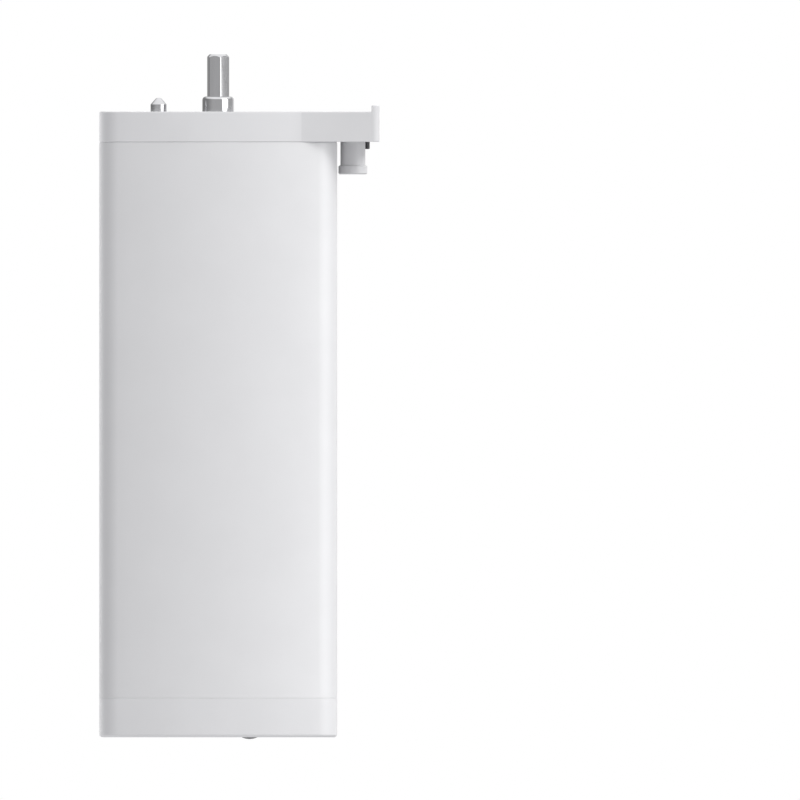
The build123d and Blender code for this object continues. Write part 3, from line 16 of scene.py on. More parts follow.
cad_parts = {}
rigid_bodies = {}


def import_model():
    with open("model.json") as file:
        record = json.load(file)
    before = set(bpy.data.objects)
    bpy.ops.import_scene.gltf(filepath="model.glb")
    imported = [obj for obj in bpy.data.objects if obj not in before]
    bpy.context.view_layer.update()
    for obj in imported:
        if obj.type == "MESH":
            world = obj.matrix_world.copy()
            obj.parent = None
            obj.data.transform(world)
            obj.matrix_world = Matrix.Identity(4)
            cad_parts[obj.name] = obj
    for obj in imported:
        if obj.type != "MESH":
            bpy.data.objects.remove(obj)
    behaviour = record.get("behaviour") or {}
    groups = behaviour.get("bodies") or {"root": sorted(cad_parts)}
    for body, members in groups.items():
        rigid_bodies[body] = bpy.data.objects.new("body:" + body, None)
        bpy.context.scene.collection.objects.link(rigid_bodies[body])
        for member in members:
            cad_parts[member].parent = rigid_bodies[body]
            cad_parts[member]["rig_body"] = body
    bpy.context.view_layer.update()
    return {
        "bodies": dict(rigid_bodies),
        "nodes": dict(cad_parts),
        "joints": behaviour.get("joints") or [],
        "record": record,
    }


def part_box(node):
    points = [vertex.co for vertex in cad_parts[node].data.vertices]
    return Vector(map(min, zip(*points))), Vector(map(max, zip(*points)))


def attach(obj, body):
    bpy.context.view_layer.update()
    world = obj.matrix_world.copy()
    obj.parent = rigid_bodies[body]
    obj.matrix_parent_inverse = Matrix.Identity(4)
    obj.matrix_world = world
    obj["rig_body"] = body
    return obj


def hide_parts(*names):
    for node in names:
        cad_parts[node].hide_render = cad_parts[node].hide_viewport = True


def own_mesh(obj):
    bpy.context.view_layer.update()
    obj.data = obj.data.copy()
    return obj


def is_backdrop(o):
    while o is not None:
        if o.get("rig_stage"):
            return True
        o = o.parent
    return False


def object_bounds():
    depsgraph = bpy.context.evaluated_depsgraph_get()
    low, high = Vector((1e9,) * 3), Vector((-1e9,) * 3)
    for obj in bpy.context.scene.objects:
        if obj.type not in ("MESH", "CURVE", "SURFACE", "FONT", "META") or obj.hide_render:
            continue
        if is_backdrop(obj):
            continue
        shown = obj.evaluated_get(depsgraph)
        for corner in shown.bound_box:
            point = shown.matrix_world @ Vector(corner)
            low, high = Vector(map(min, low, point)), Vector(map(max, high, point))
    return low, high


log = logging.getLogger("curtain_motor")

MM = 0.001

# Points nearer to each other than this become one
MERGE_DISTANCE = 0.0005 * MM

# An edge that bends less than this shades smoothly
CREASE = math.radians(28.0)

# A pattern is this on average, and dark spots start there with this spread on each side
PATTERN_MIDDLE = 0.5
SHADE_SOFTNESS = 0.3

# The shares by which a surface's slow pattern darkens and roughens it
SHADE_DARKER = 0.05
SHADE_ROUGHER = 0.12

# How brightly a finish with a glow shines
GLOW_STRENGTH = 0.6

# Keeps the length of a ray's level part from being nought
TINY = 1e-4

# A red, green and blue, a length or share along each axis, and a soft step's place and spread
Color = tuple[float, float, float]
Triple = tuple[float, float, float]
Edge = tuple[float, float]

WHITE: Color = (1.0, 1.0, 1.0)


class Term:
    """A number in a shader graph: its operators add Math nodes."""

    def __init__(self, graph: Graph, socket: bpy.types.NodeSocket) -> None:
        """Wraps one output socket of a graph's node."""
        self.graph = graph
        self.socket = socket

    def math(self, operation: str, *others: Term | float) -> Term:
        """Adds a Math node that starts with this term.

        Args:
            operation: the Math node's operation.
            others: the further operands.

        Returns:
            The node's result.
        """
        return self.graph.math(operation, self, *others)

    def __add__(self, other: Term | float) -> Term:
        """The sum."""
        return self.math("ADD", other)

    def __sub__(self, other: Term | float) -> Term:
        """The difference."""
        return self.math("SUBTRACT", other)

    def __mul__(self, other: Term | float) -> Term:
        """The product."""
        return self.math("MULTIPLY", other)

    def __truediv__(self, other: Term | float) -> Term:
        """The quotient."""
        return self.math("DIVIDE", other)

    def __pow__(self, other: Term | float) -> Term:
        """The power."""
        return self.math("POWER", other)

    def __rsub__(self, other: float) -> Term:
        """A number less this term."""
        return self.graph.math("SUBTRACT", other, self)

    __radd__ = __add__
    __rmul__ = __mul__

    def above(self, limit: float, softness: float) -> Term:
        """A soft step.

        Args:
            limit: where the step is half way.
            softness: how far the step is spread on each side.

        Returns:
            0 below the limit, 1 above it.
        """
        span = self.graph.node(
            "ShaderNodeMapRange",
            {"interpolation_type": "SMOOTHSTEP"},
            {"Value": self, "From Min": limit - softness, "From Max": limit + softness},
        )
        return Term(self.graph, span.outputs["Result"])

    def below(self, limit: float, softness: float) -> Term:
        """A soft step down: 1 below the limit, 0 above it."""
        return 1.0 - self.above(limit, softness)

    def waves(self, pitch: float) -> Term:
        """A sine from 0 to 1 that repeats after each pitch."""
        return (self * (2 * math.pi / pitch)).math("SINE") * 0.5 + 0.5


class Graph:
    """The node tree of a material or a world."""

    def __init__(self, tree: bpy.types.NodeTree) -> None:
        """Starts an empty tree."""
        tree.nodes.clear()
        self.tree = tree

    def node(
        self,
        kind: str,
        settings: dict[str, Any] | None = None,
        inputs: dict[str | int, Any] | None = None,
    ) -> bpy.types.Node:
        """Adds a node.

        Args:
            kind: the node's type.
            settings: the node's own properties, which are set first.
            inputs: a value, a Term, a socket or a node for each input, by name or index.

        Returns:
            The new node.
        """
        made = self.tree.nodes.new(kind)
        for key, value in (settings or {}).items():
            setattr(made, key, value)
        for key, value in (inputs or {}).items():
            target = made.inputs[key]
            if isinstance(value, Term):
                self.tree.links.new(value.socket, target)
            elif isinstance(value, bpy.types.NodeSocket):
                self.tree.links.new(value, target)
            elif isinstance(value, bpy.types.Node):
                self.tree.links.new(value.outputs[0], target)
            else:
                target.default_value = value
        return made

    def math(self, operation: str, *operands: Term | float) -> Term:
        """Adds a Math node.

        Args:
            operation: the node's operation.
            operands: its inputs in order.

        Returns:
            The node's result.
        """
        made = self.node("ShaderNodeMath", {"operation": operation}, dict(enumerate(operands)))
        return Term(self, made.outputs[0])

    def place(self) -> bpy.types.NodeSocket:
        """The point on the piece, in the model's own frame."""
        return self.node("ShaderNodeTexCoord").outputs["Object"]

    def split(self, vector: bpy.types.NodeSocket) -> tuple[Term, Term, Term]:
        """A vector's x, y and z terms."""
        parts = self.node("ShaderNodeSeparateXYZ", inputs={0: vector})
        x, y, z = (Term(self, part) for part in parts.outputs)
        return x, y, z

    def height(self) -> Term:
        """How high the point is in the model's own frame."""
        _, _, z = self.split(self.place())
        return z

    def radius(self) -> Term:
        """How far the point is from the model's upright axis."""
        x, y, _ = self.split(self.place())
        return (x * x + y * y) ** 0.5

    def noise(self, size: float, stretch: Triple = (1.0, 1.0, 1.0), detail: float = 2.0) -> Term:
        """A cloudy pattern.

        Args:
            size: the width of one cloud in metres.
            stretch: how much longer the clouds are along each axis.
            detail: how many finer layers there are.

        Returns:
            The pattern, near 0.5 on average.
        """
        mapped = self.node(
            "ShaderNodeMapping",
            inputs={"Vector": self.place(), "Scale": tuple(1.0 / (size * times) for times in stretch)},
        )
        cloud = self.node("ShaderNodeTexNoise", inputs={"Vector": mapped, "Scale": 1.0, "Detail": detail})
        return Term(self, cloud.outputs[0])

    def clouds(self) -> Term:
        """The slow clouds on a moulded, coated, cast or soft surface."""
        return self.noise(14 * MM, detail=3.0)

    def tracks(self) -> Term:
        """The tracks on an upright circuit board, as the joints of a pattern of bricks."""
        upright = self.node(
            "ShaderNodeMapping",
            inputs={"Vector": self.place(), "Rotation": (math.pi / 2, 0.0, 0.0)},
        )
        bricks = self.node(
            "ShaderNodeTexBrick",
            {"offset": 0.35, "squash": 1.0},
            {
                "Vector": upright,
                "Scale": 120.0,
                "Mortar Size": 0.02,
                "Mortar Smooth": 0.2,
                "Color1": (0.0, 0.0, 0.0, 1.0),
                "Color2": (0.2, 0.2, 0.2, 1.0),
                "Mortar": (1.0, 1.0, 1.0, 1.0),
            },
        )
        return Term(self, bricks.outputs["Color"])

    def blend(self, factor: Term, first: Color, second: Color) -> bpy.types.NodeSocket:
        """Mixes two colors.

        Args:
            factor: the share of the second color.
            first: the color where the factor is 0.
            second: the color where the factor is 1.

        Returns:
            The mixed color.
        """
        # A mix of colors takes its two colors at sockets 6 and 7 and gives the result at output 2
        colors = {6: (*first, 1.0), 7: (*second, 1.0)}
        return self.node("ShaderNodeMix", {"data_type": "RGBA"}, {0: factor, **colors}).outputs[2]


class Texture(Enum):
    """How a surface was made, which sets its fine marks."""

    MOULDED = "spark-eroded mould texture"
    COATED = "sprayed coating on an extrusion"
    TURNED = "rings left by a lathe"
    DRAWN = "lines left by a drawing die"
    PLATED = "plated sheet or wire"
    CAST = "die casting"
    SOFT = "rubber"
    PRESSED = "pressed powder"
    STACKED = "stacked sheets"
    WOUND = "wound wire"
    MASKED = "circuit board under its mask"


@dataclass(frozen=True)
class Relief:
    """A surface's fine marks: their pattern, a slower pattern that shades the surface, and their depth."""

    pattern: Term
    shade: Term
    depth: float


@dataclass(frozen=True)
class Finish:
    """One surface finish, from which its material is made. Its marks scale the relief and the shading."""

    name: str
    color: Color
    texture: Texture
    roughness: float = 0.5
    metallic: float = 0.0
    gloss: float = 0.5
    coat: float = 0.0
    coat_roughness: float = 0.12
    sheen: float = 0.0
    sheen_roughness: float = 0.25
    second_color: Color | None = None
    marks: float = 1.0
    alpha: float = 1.0
    glow: Color | None = None

    def relief(self, graph: Graph) -> Relief:
        """Draws the fine marks of the finish's texture.

        Args:
            graph: the material's graph.

        Returns:
            The marks.
        """
        match self.texture:
            case Texture.MOULDED:
                return Relief(graph.noise(0.22 * MM, detail=1.0), graph.clouds(), depth=0.010 * MM)
            case Texture.COATED:
                peel_share = 0.7
                peel = graph.noise(1.1 * MM, detail=1.0)
                lines = graph.noise(0.5 * MM, stretch=(1.0, 1.0, 400.0), detail=1.0)
                coating = peel * peel_share + lines * (1 - peel_share)
                return Relief(coating, graph.clouds(), depth=0.012 * MM)
            case Texture.TURNED:
                ring_share = 0.5
                rings = graph.height().waves(pitch=0.12 * MM) * ring_share
                uneven = graph.noise(0.3 * MM, stretch=(40.0, 40.0, 1.0))
                shade = graph.noise(2.5 * MM, stretch=(3.0, 3.0, 1.0))
                return Relief(rings + uneven, shade, depth=0.002 * MM)
            case Texture.DRAWN:
                lines = graph.noise(0.09 * MM, stretch=(1.0, 1.0, 60.0))
                shade = graph.noise(1.6 * MM, stretch=(1.0, 1.0, 8.0))
                return Relief(lines, shade, depth=0.003 * MM)
            case Texture.PLATED:
                return Relief(graph.noise(0.3 * MM), graph.noise(3 * MM, detail=4.0), depth=0.003 * MM)
            case Texture.CAST:
                return Relief(graph.noise(0.7 * MM, detail=4.0), graph.clouds(), depth=0.02 * MM)
            case Texture.SOFT:
                return Relief(graph.noise(0.35 * MM), graph.clouds(), depth=0.012 * MM)
            case Texture.PRESSED:
                return Relief(graph.noise(0.25 * MM, detail=3.0), graph.noise(4 * MM), depth=0.02 * MM)
            case Texture.STACKED:
                return Relief(graph.height().waves(pitch=0.5 * MM), graph.noise(5 * MM), depth=0.05 * MM)
            case Texture.WOUND:
                slant = 0.12
                turns = (graph.height() + graph.radius() * slant).waves(pitch=0.42 * MM)
                return Relief(turns, graph.noise(2 * MM), depth=0.09 * MM)
            case Texture.MASKED:
                return Relief(graph.noise(0.5 * MM, detail=0.0), graph.tracks(), depth=0.01 * MM)

    def material(self) -> bpy.types.Material:
        """Makes the finish's material.

        Returns:
            A node-based material.
        """
        made = bpy.data.materials.new(self.name)
        made.use_nodes = True
        graph = Graph(made.node_tree)
        relief = self.relief(graph)
        kept = 1 - SHADE_DARKER * self.marks
        darker = self.second_color or tuple(channel * kept for channel in self.color)
        spots = relief.shade.above(PATTERN_MIDDLE, SHADE_SOFTNESS)
        uneven = (relief.shade - PATTERN_MIDDLE) * (SHADE_ROUGHER * self.marks)
        bump = graph.node(
            "ShaderNodeBump",
            inputs={"Height": relief.pattern, "Distance": relief.depth * self.marks, "Strength": 1.0},
        )
        shader = graph.node(
            "ShaderNodeBsdfPrincipled",
            inputs={
                "Base Color": graph.blend(spots, self.color, darker),
                "Roughness": uneven + self.roughness,
                "Metallic": self.metallic,
                "Specular IOR Level": self.gloss,
                "Coat Weight": self.coat,
                "Coat Roughness": self.coat_roughness,
                "Sheen Weight": self.sheen,
                "Sheen Roughness": self.sheen_roughness,
                "Normal": bump,
                "Alpha": self.alpha,
            },
        )
        if self.glow:
            shader.inputs["Emission Color"].default_value = (*self.glow, 1.0)
            shader.inputs["Emission Strength"].default_value = GLOW_STRENGTH
        graph.node("ShaderNodeOutputMaterial", inputs={"Surface": shader})
        return made


SHELL = Finish(
    "shell_coating",
    (0.742, 0.742, 0.75),
    Texture.COATED,
    roughness=0.6,
    metallic=0.2,
    marks=0.5,
    gloss=0.6,
    coat=0.3,
    coat_roughness=0.5,
    sheen=0.4,
)
MOULDING = Finish(
    "grey_moulding",
    (0.716, 0.716, 0.724),
    Texture.MOULDED,
    roughness=0.6,
    marks=0.6,
    gloss=0.15,
    sheen=0.3,
)
# A coarser copy of the moulding, whose darker colour is painted shade on the wing's upright faces
SHADED_WING = Finish(
    "coarse_moulding_with_painted_shade",
    (0.665, 0.665, 0.672),
    Texture.MOULDED,
    roughness=0.7,
    marks=0.9,
    gloss=0.12,
    sheen=0.3,
)
CAP = Finish(
    "cap_moulding",
    (0.73, 0.73, 0.738),
    Texture.MOULDED,
    roughness=0.5,
    metallic=0.04,
    marks=0.6,
    gloss=0.7,
    sheen=0.4,
)
SEAL = Finish("seam_seal", (0.71, 0.71, 0.72), Texture.SOFT, roughness=0.7)
INLET = Finish("inlet_moulding", (0.65, 0.65, 0.658), Texture.MOULDED, roughness=0.45)
DARK = Finish("dark_moulding", (0.045, 0.045, 0.048), Texture.MOULDED, roughness=0.42)
BUTTON = Finish("button_grey", (0.16, 0.16, 0.168), Texture.MOULDED, roughness=0.4)
LINER = Finish("inlet_liner", (0.02, 0.02, 0.022), Texture.MOULDED, roughness=0.5)
SHAFT = Finish("polished_shaft", (0.62, 0.62, 0.635), Texture.DRAWN, roughness=0.11, metallic=1.0)
PIN = Finish("polished_pin", (0.62, 0.62, 0.635), Texture.TURNED, roughness=0.12, metallic=1.0)
TURNED = Finish("turned_steel", (0.52, 0.52, 0.54), Texture.TURNED, roughness=0.32, metallic=1.0)
SCREW = Finish("zinc_screw", (0.60, 0.60, 0.60), Texture.PLATED, roughness=0.3, metallic=1.0)
CONTACT = Finish("tinned_contact", (0.74, 0.66, 0.45), Texture.PLATED, roughness=0.22, metallic=1.0)
SPRING = Finish("spring_steel", (0.5, 0.5, 0.52), Texture.PLATED, roughness=0.25, metallic=1.0)
RACE = Finish("ground_race", (0.66, 0.66, 0.67), Texture.TURNED, roughness=0.12, metallic=1.0)
BRONZE = Finish("sintered_bronze", (0.55, 0.36, 0.16), Texture.PRESSED, roughness=0.45, metallic=1.0)
CASTING = Finish("gearbox_casting", (0.56, 0.56, 0.58), Texture.CAST, roughness=0.42, metallic=1.0)
CARRIER = Finish("ground_carrier", (0.5, 0.5, 0.52), Texture.DRAWN, roughness=0.3, metallic=1.0)
GEAR = Finish("hardened_gear", (0.36, 0.36, 0.38), Texture.PLATED, roughness=0.3, metallic=1.0)
ACETAL = Finish("acetal_gear", (0.80, 0.78, 0.70), Texture.MOULDED, roughness=0.35)
CAN = Finish("plated_can", (0.58, 0.58, 0.60), Texture.DRAWN, roughness=0.3, metallic=1.0)
FERRITE = Finish("ferrite", (0.055, 0.055, 0.06), Texture.PRESSED, roughness=0.6)
FILLED = Finish("glass_filled", (0.03, 0.03, 0.033), Texture.MOULDED, roughness=0.55)
CARBON = Finish("carbon_brush", (0.035, 0.035, 0.036), Texture.PRESSED, roughness=0.5)
CORE = Finish("stacked_core", (0.22, 0.22, 0.24), Texture.STACKED, roughness=0.4, metallic=1.0)
WIRE = Finish("enamelled_wire", (0.42, 0.15, 0.05), Texture.WOUND, roughness=0.25, metallic=0.8, coat=0.5)
COPPER = Finish("copper_bars", (0.62, 0.30, 0.18), Texture.TURNED, roughness=0.3, metallic=1.0)
RUBBER = Finish("black_rubber", (0.02, 0.02, 0.02), Texture.SOFT, roughness=0.7)
BOARD = Finish(
    "board_mask",
    (0.012, 0.11, 0.045),
    Texture.MASKED,
    roughness=0.3,
    coat=0.4,
    second_color=(0.03, 0.22, 0.09),
)
CHIP = Finish("chip_body", (0.02, 0.02, 0.022), Texture.PRESSED, roughness=0.5)
SLEEVE = Finish("capacitor_sleeve", (0.02, 0.022, 0.05), Texture.SOFT, roughness=0.3, coat=0.3)
SHIELD = Finish("tinned_shield", (0.66, 0.66, 0.66), Texture.PLATED, roughness=0.28, metallic=1.0)
NYLON = Finish("natural_nylon", (0.78, 0.75, 0.64), Texture.MOULDED, roughness=0.4)
LIGHT = Finish(
    "light_body",
    (0.75, 0.85, 0.95),
    Texture.MOULDED,
    roughness=0.15,
    alpha=0.75,
    glow=(0.2, 0.5, 1.0),
)
LEAD = Finish("lead_insulation", (0.03, 0.03, 0.032), Texture.SOFT, roughness=0.4)
FOIL = Finish("blank_foil", (0.66, 0.66, 0.67), Texture.DRAWN, roughness=0.35, metallic=1.0)

HIDDEN_FINISHES: dict[Finish, tuple[str, ...]] = {
    SCREW: ("gearbox_screws", "motor_screws"),
    CONTACT: ("motor_terminals",),
    RACE: ("bearing_inner_ring", "bearing_outer_ring", "bearing_balls"),
    BRONZE: ("output_bush", "motor_bushes"),
    CASTING: ("gearbox_front_plate", "gearbox_rear_plate"),
    TURNED: ("ring_gear", "rotor_shaft"),
    CARRIER: ("output_carrier", "first_carrier", "output_pins", "first_pins"),
    GEAR: ("first_sun", "second_sun"),
    ACETAL: tuple(f"{stage}_planet_{number}" for stage in ("first", "second") for number in (1, 2, 3)),
    CAN: ("motor_can",),
    FERRITE: ("motor_magnets", "sensor_magnet", "power_choke"),
    FILLED: ("motor_end_cap", "button_switch"),
    CARBON: ("motor_brushes",),
    CORE: ("rotor_core",),
    WIRE: ("rotor_windings",),
    COPPER: ("commutator",),
    RUBBER: ("motor_damper",),
    BOARD: ("control_board", "sensor_board"),
    CHIP: ("board_chips",),
    SLEEVE: ("filter_capacitors",),
    SHIELD: ("radio_module",),
    NYLON: ("board_sockets",),
    LIGHT: ("status_light",),
    LEAD: ("inlet_leads", "motor_leads"),
}


def scene_object(name: str, data: bpy.types.ID) -> bpy.types.Object:
    """Makes an object from its data and puts it in the scene."""
    made = bpy.data.objects.new(name, data)
    bpy.context.scene.collection.objects.link(made)
    return made


def mesh_object(name: str, mesh: bmesh.types.BMesh) -> bpy.types.Object:
    """Turns a bmesh, which is freed here, into an object in the scene.

    Args:
        name: the object's name.
        mesh: its shape.

    Returns:
        The object.
    """
    data = bpy.data.meshes.new(name)
    mesh.to_mesh(data)
    mesh.free()
    return scene_object(name, data)


class Workshop:
    """Holds the loaded frame and makes pieces and materials from it."""

    def __init__(self, frame: dict[str, Any]) -> None:
        """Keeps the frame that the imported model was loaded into."""
        self.nodes: dict[str, bpy.types.Object] = frame["nodes"]
        self.slots = {entry["node"]: entry["material_slot"] for entry in frame["record"]["subparts"]}
        self.made: dict[Finish, bpy.types.Material] = {}

    def material(self, finish: Finish) -> bpy.types.Material:
        """The finish's material, made once."""
        if finish not in self.made:
            self.made[finish] = finish.material()
        return self.made[finish]

    def dress(self, piece: bpy.types.Object, finish: Finish) -> None:
        """Gives a piece one material all over."""
        piece.data.materials.clear()
        piece.data.materials.append(self.material(finish))

    def piece(self, name: str, mesh: bmesh.types.BMesh, body: str, finish: Finish) -> bpy.types.Object:
        """Turns a bmesh into a piece of the object.

        Args:
            name: the piece's name.
            mesh: its shape, which is freed here.
            body: the moving body that carries it.
            finish: its surface.

        Returns:
            The new object.
        """
        made = mesh_object(name, mesh)
        self.dress(made, finish)
        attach(made, body)
        log.info("%s rides on %s", name, body)
        return made

    def smooth_copy(self, node: str, finish: Finish) -> bpy.types.Object:
        """Stands in for a CAD node with a merged copy whose round faces shade smoothly.

        Args:
            node: the CAD node.
            finish: the copy's surface.

        Returns:
            The copy, which replaces the node.
        """
        source = self.nodes[node]
        mesh = bmesh.new()
        mesh.from_mesh(source.data)
        bmesh.ops.remove_doubles(mesh, verts=mesh.verts, dist=MERGE_DISTANCE)
        for face in mesh.faces:
            face.smooth = True
        for edge in mesh.edges:
            edge.smooth = edge.is_manifold and edge.calc_face_angle(0.0) < CREASE
        made = self.piece(f"{node}_surface", mesh, source["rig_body"], finish)
        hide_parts(node)
        return made


@dataclass
class Housing:
    """The tube with its cover, bottom cap, seam and screws."""

    foil_length: float = 23.5 * MM
    foil_width: float = 19.5 * MM
    foil_thickness: float = 0.12 * MM
    foil_x: float = -14.0 * MM
    foil_corner: float = 1.4 * MM
    foil_corner_segments: int = 6
    recess_depth: float = 0.3 * MM
    wing_start: float = 23.4 * MM
    wing_lean: float = math.radians(30.0)

    def build(self, shop: Workshop) -> None:
        """Dresses the shells and adds the blank foil under the cap."""
        shop.smooth_copy("housing_tube", SHELL)
        self.wing(shop, shop.smooth_copy("top_cover", MOULDING))
        shop.smooth_copy("bottom_cap", CAP)
        shop.smooth_copy("top_gasket", SEAL)
        shop.smooth_copy("wing_plate", MOULDING)
        for node in ("cover_screws", "bottom_screws", "wing_screws"):
            shop.smooth_copy(node, SCREW)
        self.foil(shop)

    def wing(self, shop: Workshop, cover: bpy.types.Object) -> None:
        """Gives the faces of the cover's wing that lean little from upright a coarser texture and a darker
        colour, which is painted shade.

        Args:
            shop: the workshop.
            cover: the cover's piece.
        """
        cover.data.materials.append(shop.material(SHADED_WING))
        shaded_slot = len(cover.data.materials) - 1
        for face in cover.data.polygons:
            # The wing's upright faces get the darker copy, which paints shade on them
            if face.center.x > self.wing_start and abs(face.normal.z) < math.sin(self.wing_lean):
                face.material_index = shaded_slot

    def foil(self, shop: Workshop) -> None:
        """Lays a blank foil plate against the inner face of the recess under the cap.

        Args:
            shop: the workshop.
        """
        low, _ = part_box("bottom_cap")
        mesh = bmesh.new()
        place = Matrix.Translation((self.foil_x, 0.0, low[2] + self.recess_depth - self.foil_thickness))
        half = Matrix.Diagonal((self.foil_length / 2, self.foil_width / 2, 1.0, 1.0))
        bmesh.ops.create_grid(mesh, x_segments=1, y_segments=1, size=1.0, matrix=place @ half)
        bmesh.ops.bevel(
            mesh,
            geom=mesh.verts[:],
            offset=self.foil_corner,
            segments=self.foil_corner_segments,
            profile=0.5,
            affect="VERTICES",
            material=-1,
        )
        grown = bmesh.ops.extrude_face_region(mesh, geom=mesh.faces[:])
        lifted = [part for part in grown["geom"] if isinstance(part, bmesh.types.BMVert)]
        bmesh.ops.translate(mesh, verts=lifted, vec=(0.0, 0.0, self.foil_thickness))
        bmesh.ops.recalc_face_normals(mesh, faces=mesh.faces)
        made = shop.piece("blank_foil", mesh, "housing", FOIL)


@dataclass
class Ring:
    """A turned ring of rectangular section, placed by the middle of its top face."""

    top: Vector
    inner: float
    outer: float
    height: float
    edge: float
    edge_segments: int = 3
    steps: int = 96

    def mesh(self) -> bmesh.types.BMesh:
        """Rounds the section's corners and spins it about an upright axis.

        Returns:
            The ring's bmesh.
        """
        mesh = bmesh.new()
        section = (
            (self.inner, 0.0),
            (self.outer, 0.0),
            (self.outer, -self.height),
            (self.inner, -self.height),
        )
        corners = [mesh.verts.new(self.top + Vector((radius, 0.0, rise))) for radius, rise in section]
        face = mesh.faces.new(corners)
        bmesh.ops.bevel(
            mesh,
            geom=face.verts[:],
            offset=self.edge,
            segments=self.edge_segments,
            profile=0.5,
            affect="VERTICES",
            material=-1,
        )
        mesh.faces.ensure_lookup_table()
        outline = mesh.faces[0].edges[:]
        bmesh.ops.delete(mesh, geom=mesh.faces[:], context="FACES_ONLY")
        bmesh.ops.spin(
            mesh,
            geom=outline,
            cent=self.top,
            axis=(0.0, 0.0, 1.0),
            angle=2 * math.pi,
            steps=self.steps,
            use_merge=True,
        )
        bmesh.ops.remove_doubles(mesh, verts=mesh.verts, dist=MERGE_DISTANCE)
        bmesh.ops.recalc_face_normals(mesh, faces=mesh.faces)
        for spun in mesh.faces:
            spun.smooth = True
        return mesh


@dataclass
class Drive:
    """The output shaft with its dust ring, and the locating pin with its barrel and spring."""

    seal_inner: float = 4.5 * MM
    seal_outer: float = 4.88 * MM
    seal_top: float = -0.5 * MM
    seal_height: float = 1.2 * MM
    seal_edge: float = 0.12 * MM
    spring_keep: float = 0.37

    def build(self, shop: Workshop) -> None:
        """Dresses the moving metal, gives the spring its own mesh and adds the ring round the collar."""
        shop.smooth_copy("output_shaft", SHAFT)
        shop.smooth_copy("locating_pin", PIN)
        shop.smooth_copy("plunger_barrel", TURNED)
        coil = shop.smooth_copy("plunger_spring", SPRING)
        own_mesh(coil)
        top = Vector((0.0, 0.0, self.seal_top))
        ring = Ring(top, self.seal_inner, self.seal_outer, self.seal_height, self.seal_edge)
        made = shop.piece("dust_ring", ring.mesh(), "housing", RUBBER)


@dataclass
class Inlet:
    """The power inlet under the wing, with the latch pin beside it."""

    liner_outer: float = 2.8 * MM
    liner_inner: float = 1.1 * MM
    liner_height: float = 0.6 * MM
    liner_edge: float = 0.1 * MM
    bore_depth: float = 9.0 * MM

    def build(self, shop: Workshop) -> None:
        """Dresses the inlet and lines the end of its bore."""
        shop.smooth_copy("inlet_shell", INLET)
        shop.smooth_copy("inlet_contacts", CONTACT)
        shop.smooth_copy("latch_pin", DARK)
        low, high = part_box("inlet_shell")
        top = Vector(((low[0] + high[0]) / 2, (low[1] + high[1]) / 2, low[2] + self.bore_depth))
        ring = Ring(top, self.liner_inner, self.liner_outer, self.liner_height, self.liner_edge)
        made = shop.piece("inlet_liner", ring.mesh(), "housing", LINER)


@dataclass
class Controls:
    """The set button and all that is sealed inside the housing."""

    def build(self, shop: Workshop) -> None:
        """Dresses the button and the inner nodes."""
        shop.smooth_copy("set_button", BUTTON)
        for finish, nodes in HIDDEN_FINISHES.items():
            for node in nodes:
                shop.dress(shop.nodes[node], finish)
                log.info("%s is %s", node, finish.name)


# An azimuth is in degrees: 0 is the camera's side, and it grows towards the right of the photograph


@dataclass(frozen=True)
class Lamp:
    """A soft panel that points at the middle of the object and that no metal mirrors."""

    name: str
    azimuth: float
    elevation: float
    distance: float
    width: float
    height: float
    power: float

    def build(self, target: Vector) -> None:
        """Makes the lamp.

        Args:
            target: the point that it is aimed at.
        """
        data = bpy.data.lights.new(self.name, "AREA")
        data.shape = "RECTANGLE"
        data.size = self.width
        data.size_y = self.height
        data.energy = self.power
        made = scene_object(self.name, data)
        turn = math.radians(self.azimuth)
        rise = math.radians(self.elevation)
        away = Vector((math.sin(turn) * math.cos(rise), -math.cos(turn) * math.cos(rise), math.sin(rise)))
        made.location = target + away * self.distance
        made.rotation_mode = "QUATERNION"
        made.rotation_quaternion = (-away).to_track_quat("-Z", "Y")
        made.visible_glossy = False


@dataclass
class Camera:
    """A level camera without perspective, framed as the photograph is."""

    photo_side: int = 800
    photo_scale: float = 0.2773 * MM
    photo_axis_x: float = 218.2
    photo_top_y: float = 111.6
    distance: float = 2.0
    reach: float = 20.0

    def build(self) -> None:
        """Makes the camera, with the shaft's axis and the cover's top where the photograph has them."""
        data = bpy.data.cameras.new("camera")
        data.type = "ORTHO"
        data.ortho_scale = self.photo_side * self.photo_scale
        data.clip_end = self.reach
        made = scene_object("camera", data)
        middle = self.photo_side / 2
        made.location = (
            (middle - self.photo_axis_x) * self.photo_scale,
            -self.distance,
            (self.photo_top_y - middle) * self.photo_scale,
        )
        made.rotation_euler = (math.pi / 2, 0.0, 0.0)
        bpy.context.scene.camera = made


@dataclass(frozen=True)
class Ray:
    """The direction of a ray that leaves the scene: to the right, away from the camera and up."""

    across: Term
    away: Term
    up: Term

    def toward(self, azimuth: float) -> Term:
        """How nearly the ray points at an azimuth, from -1 to 1."""
        turn = math.radians(azimuth)
        return self.across * math.sin(turn) - self.away * math.cos(turn)

    def level(self) -> Term:
        """The length of the ray's level part, which is never nought."""
        return (self.across * self.across + self.away * self.away) ** 0.5 + TINY


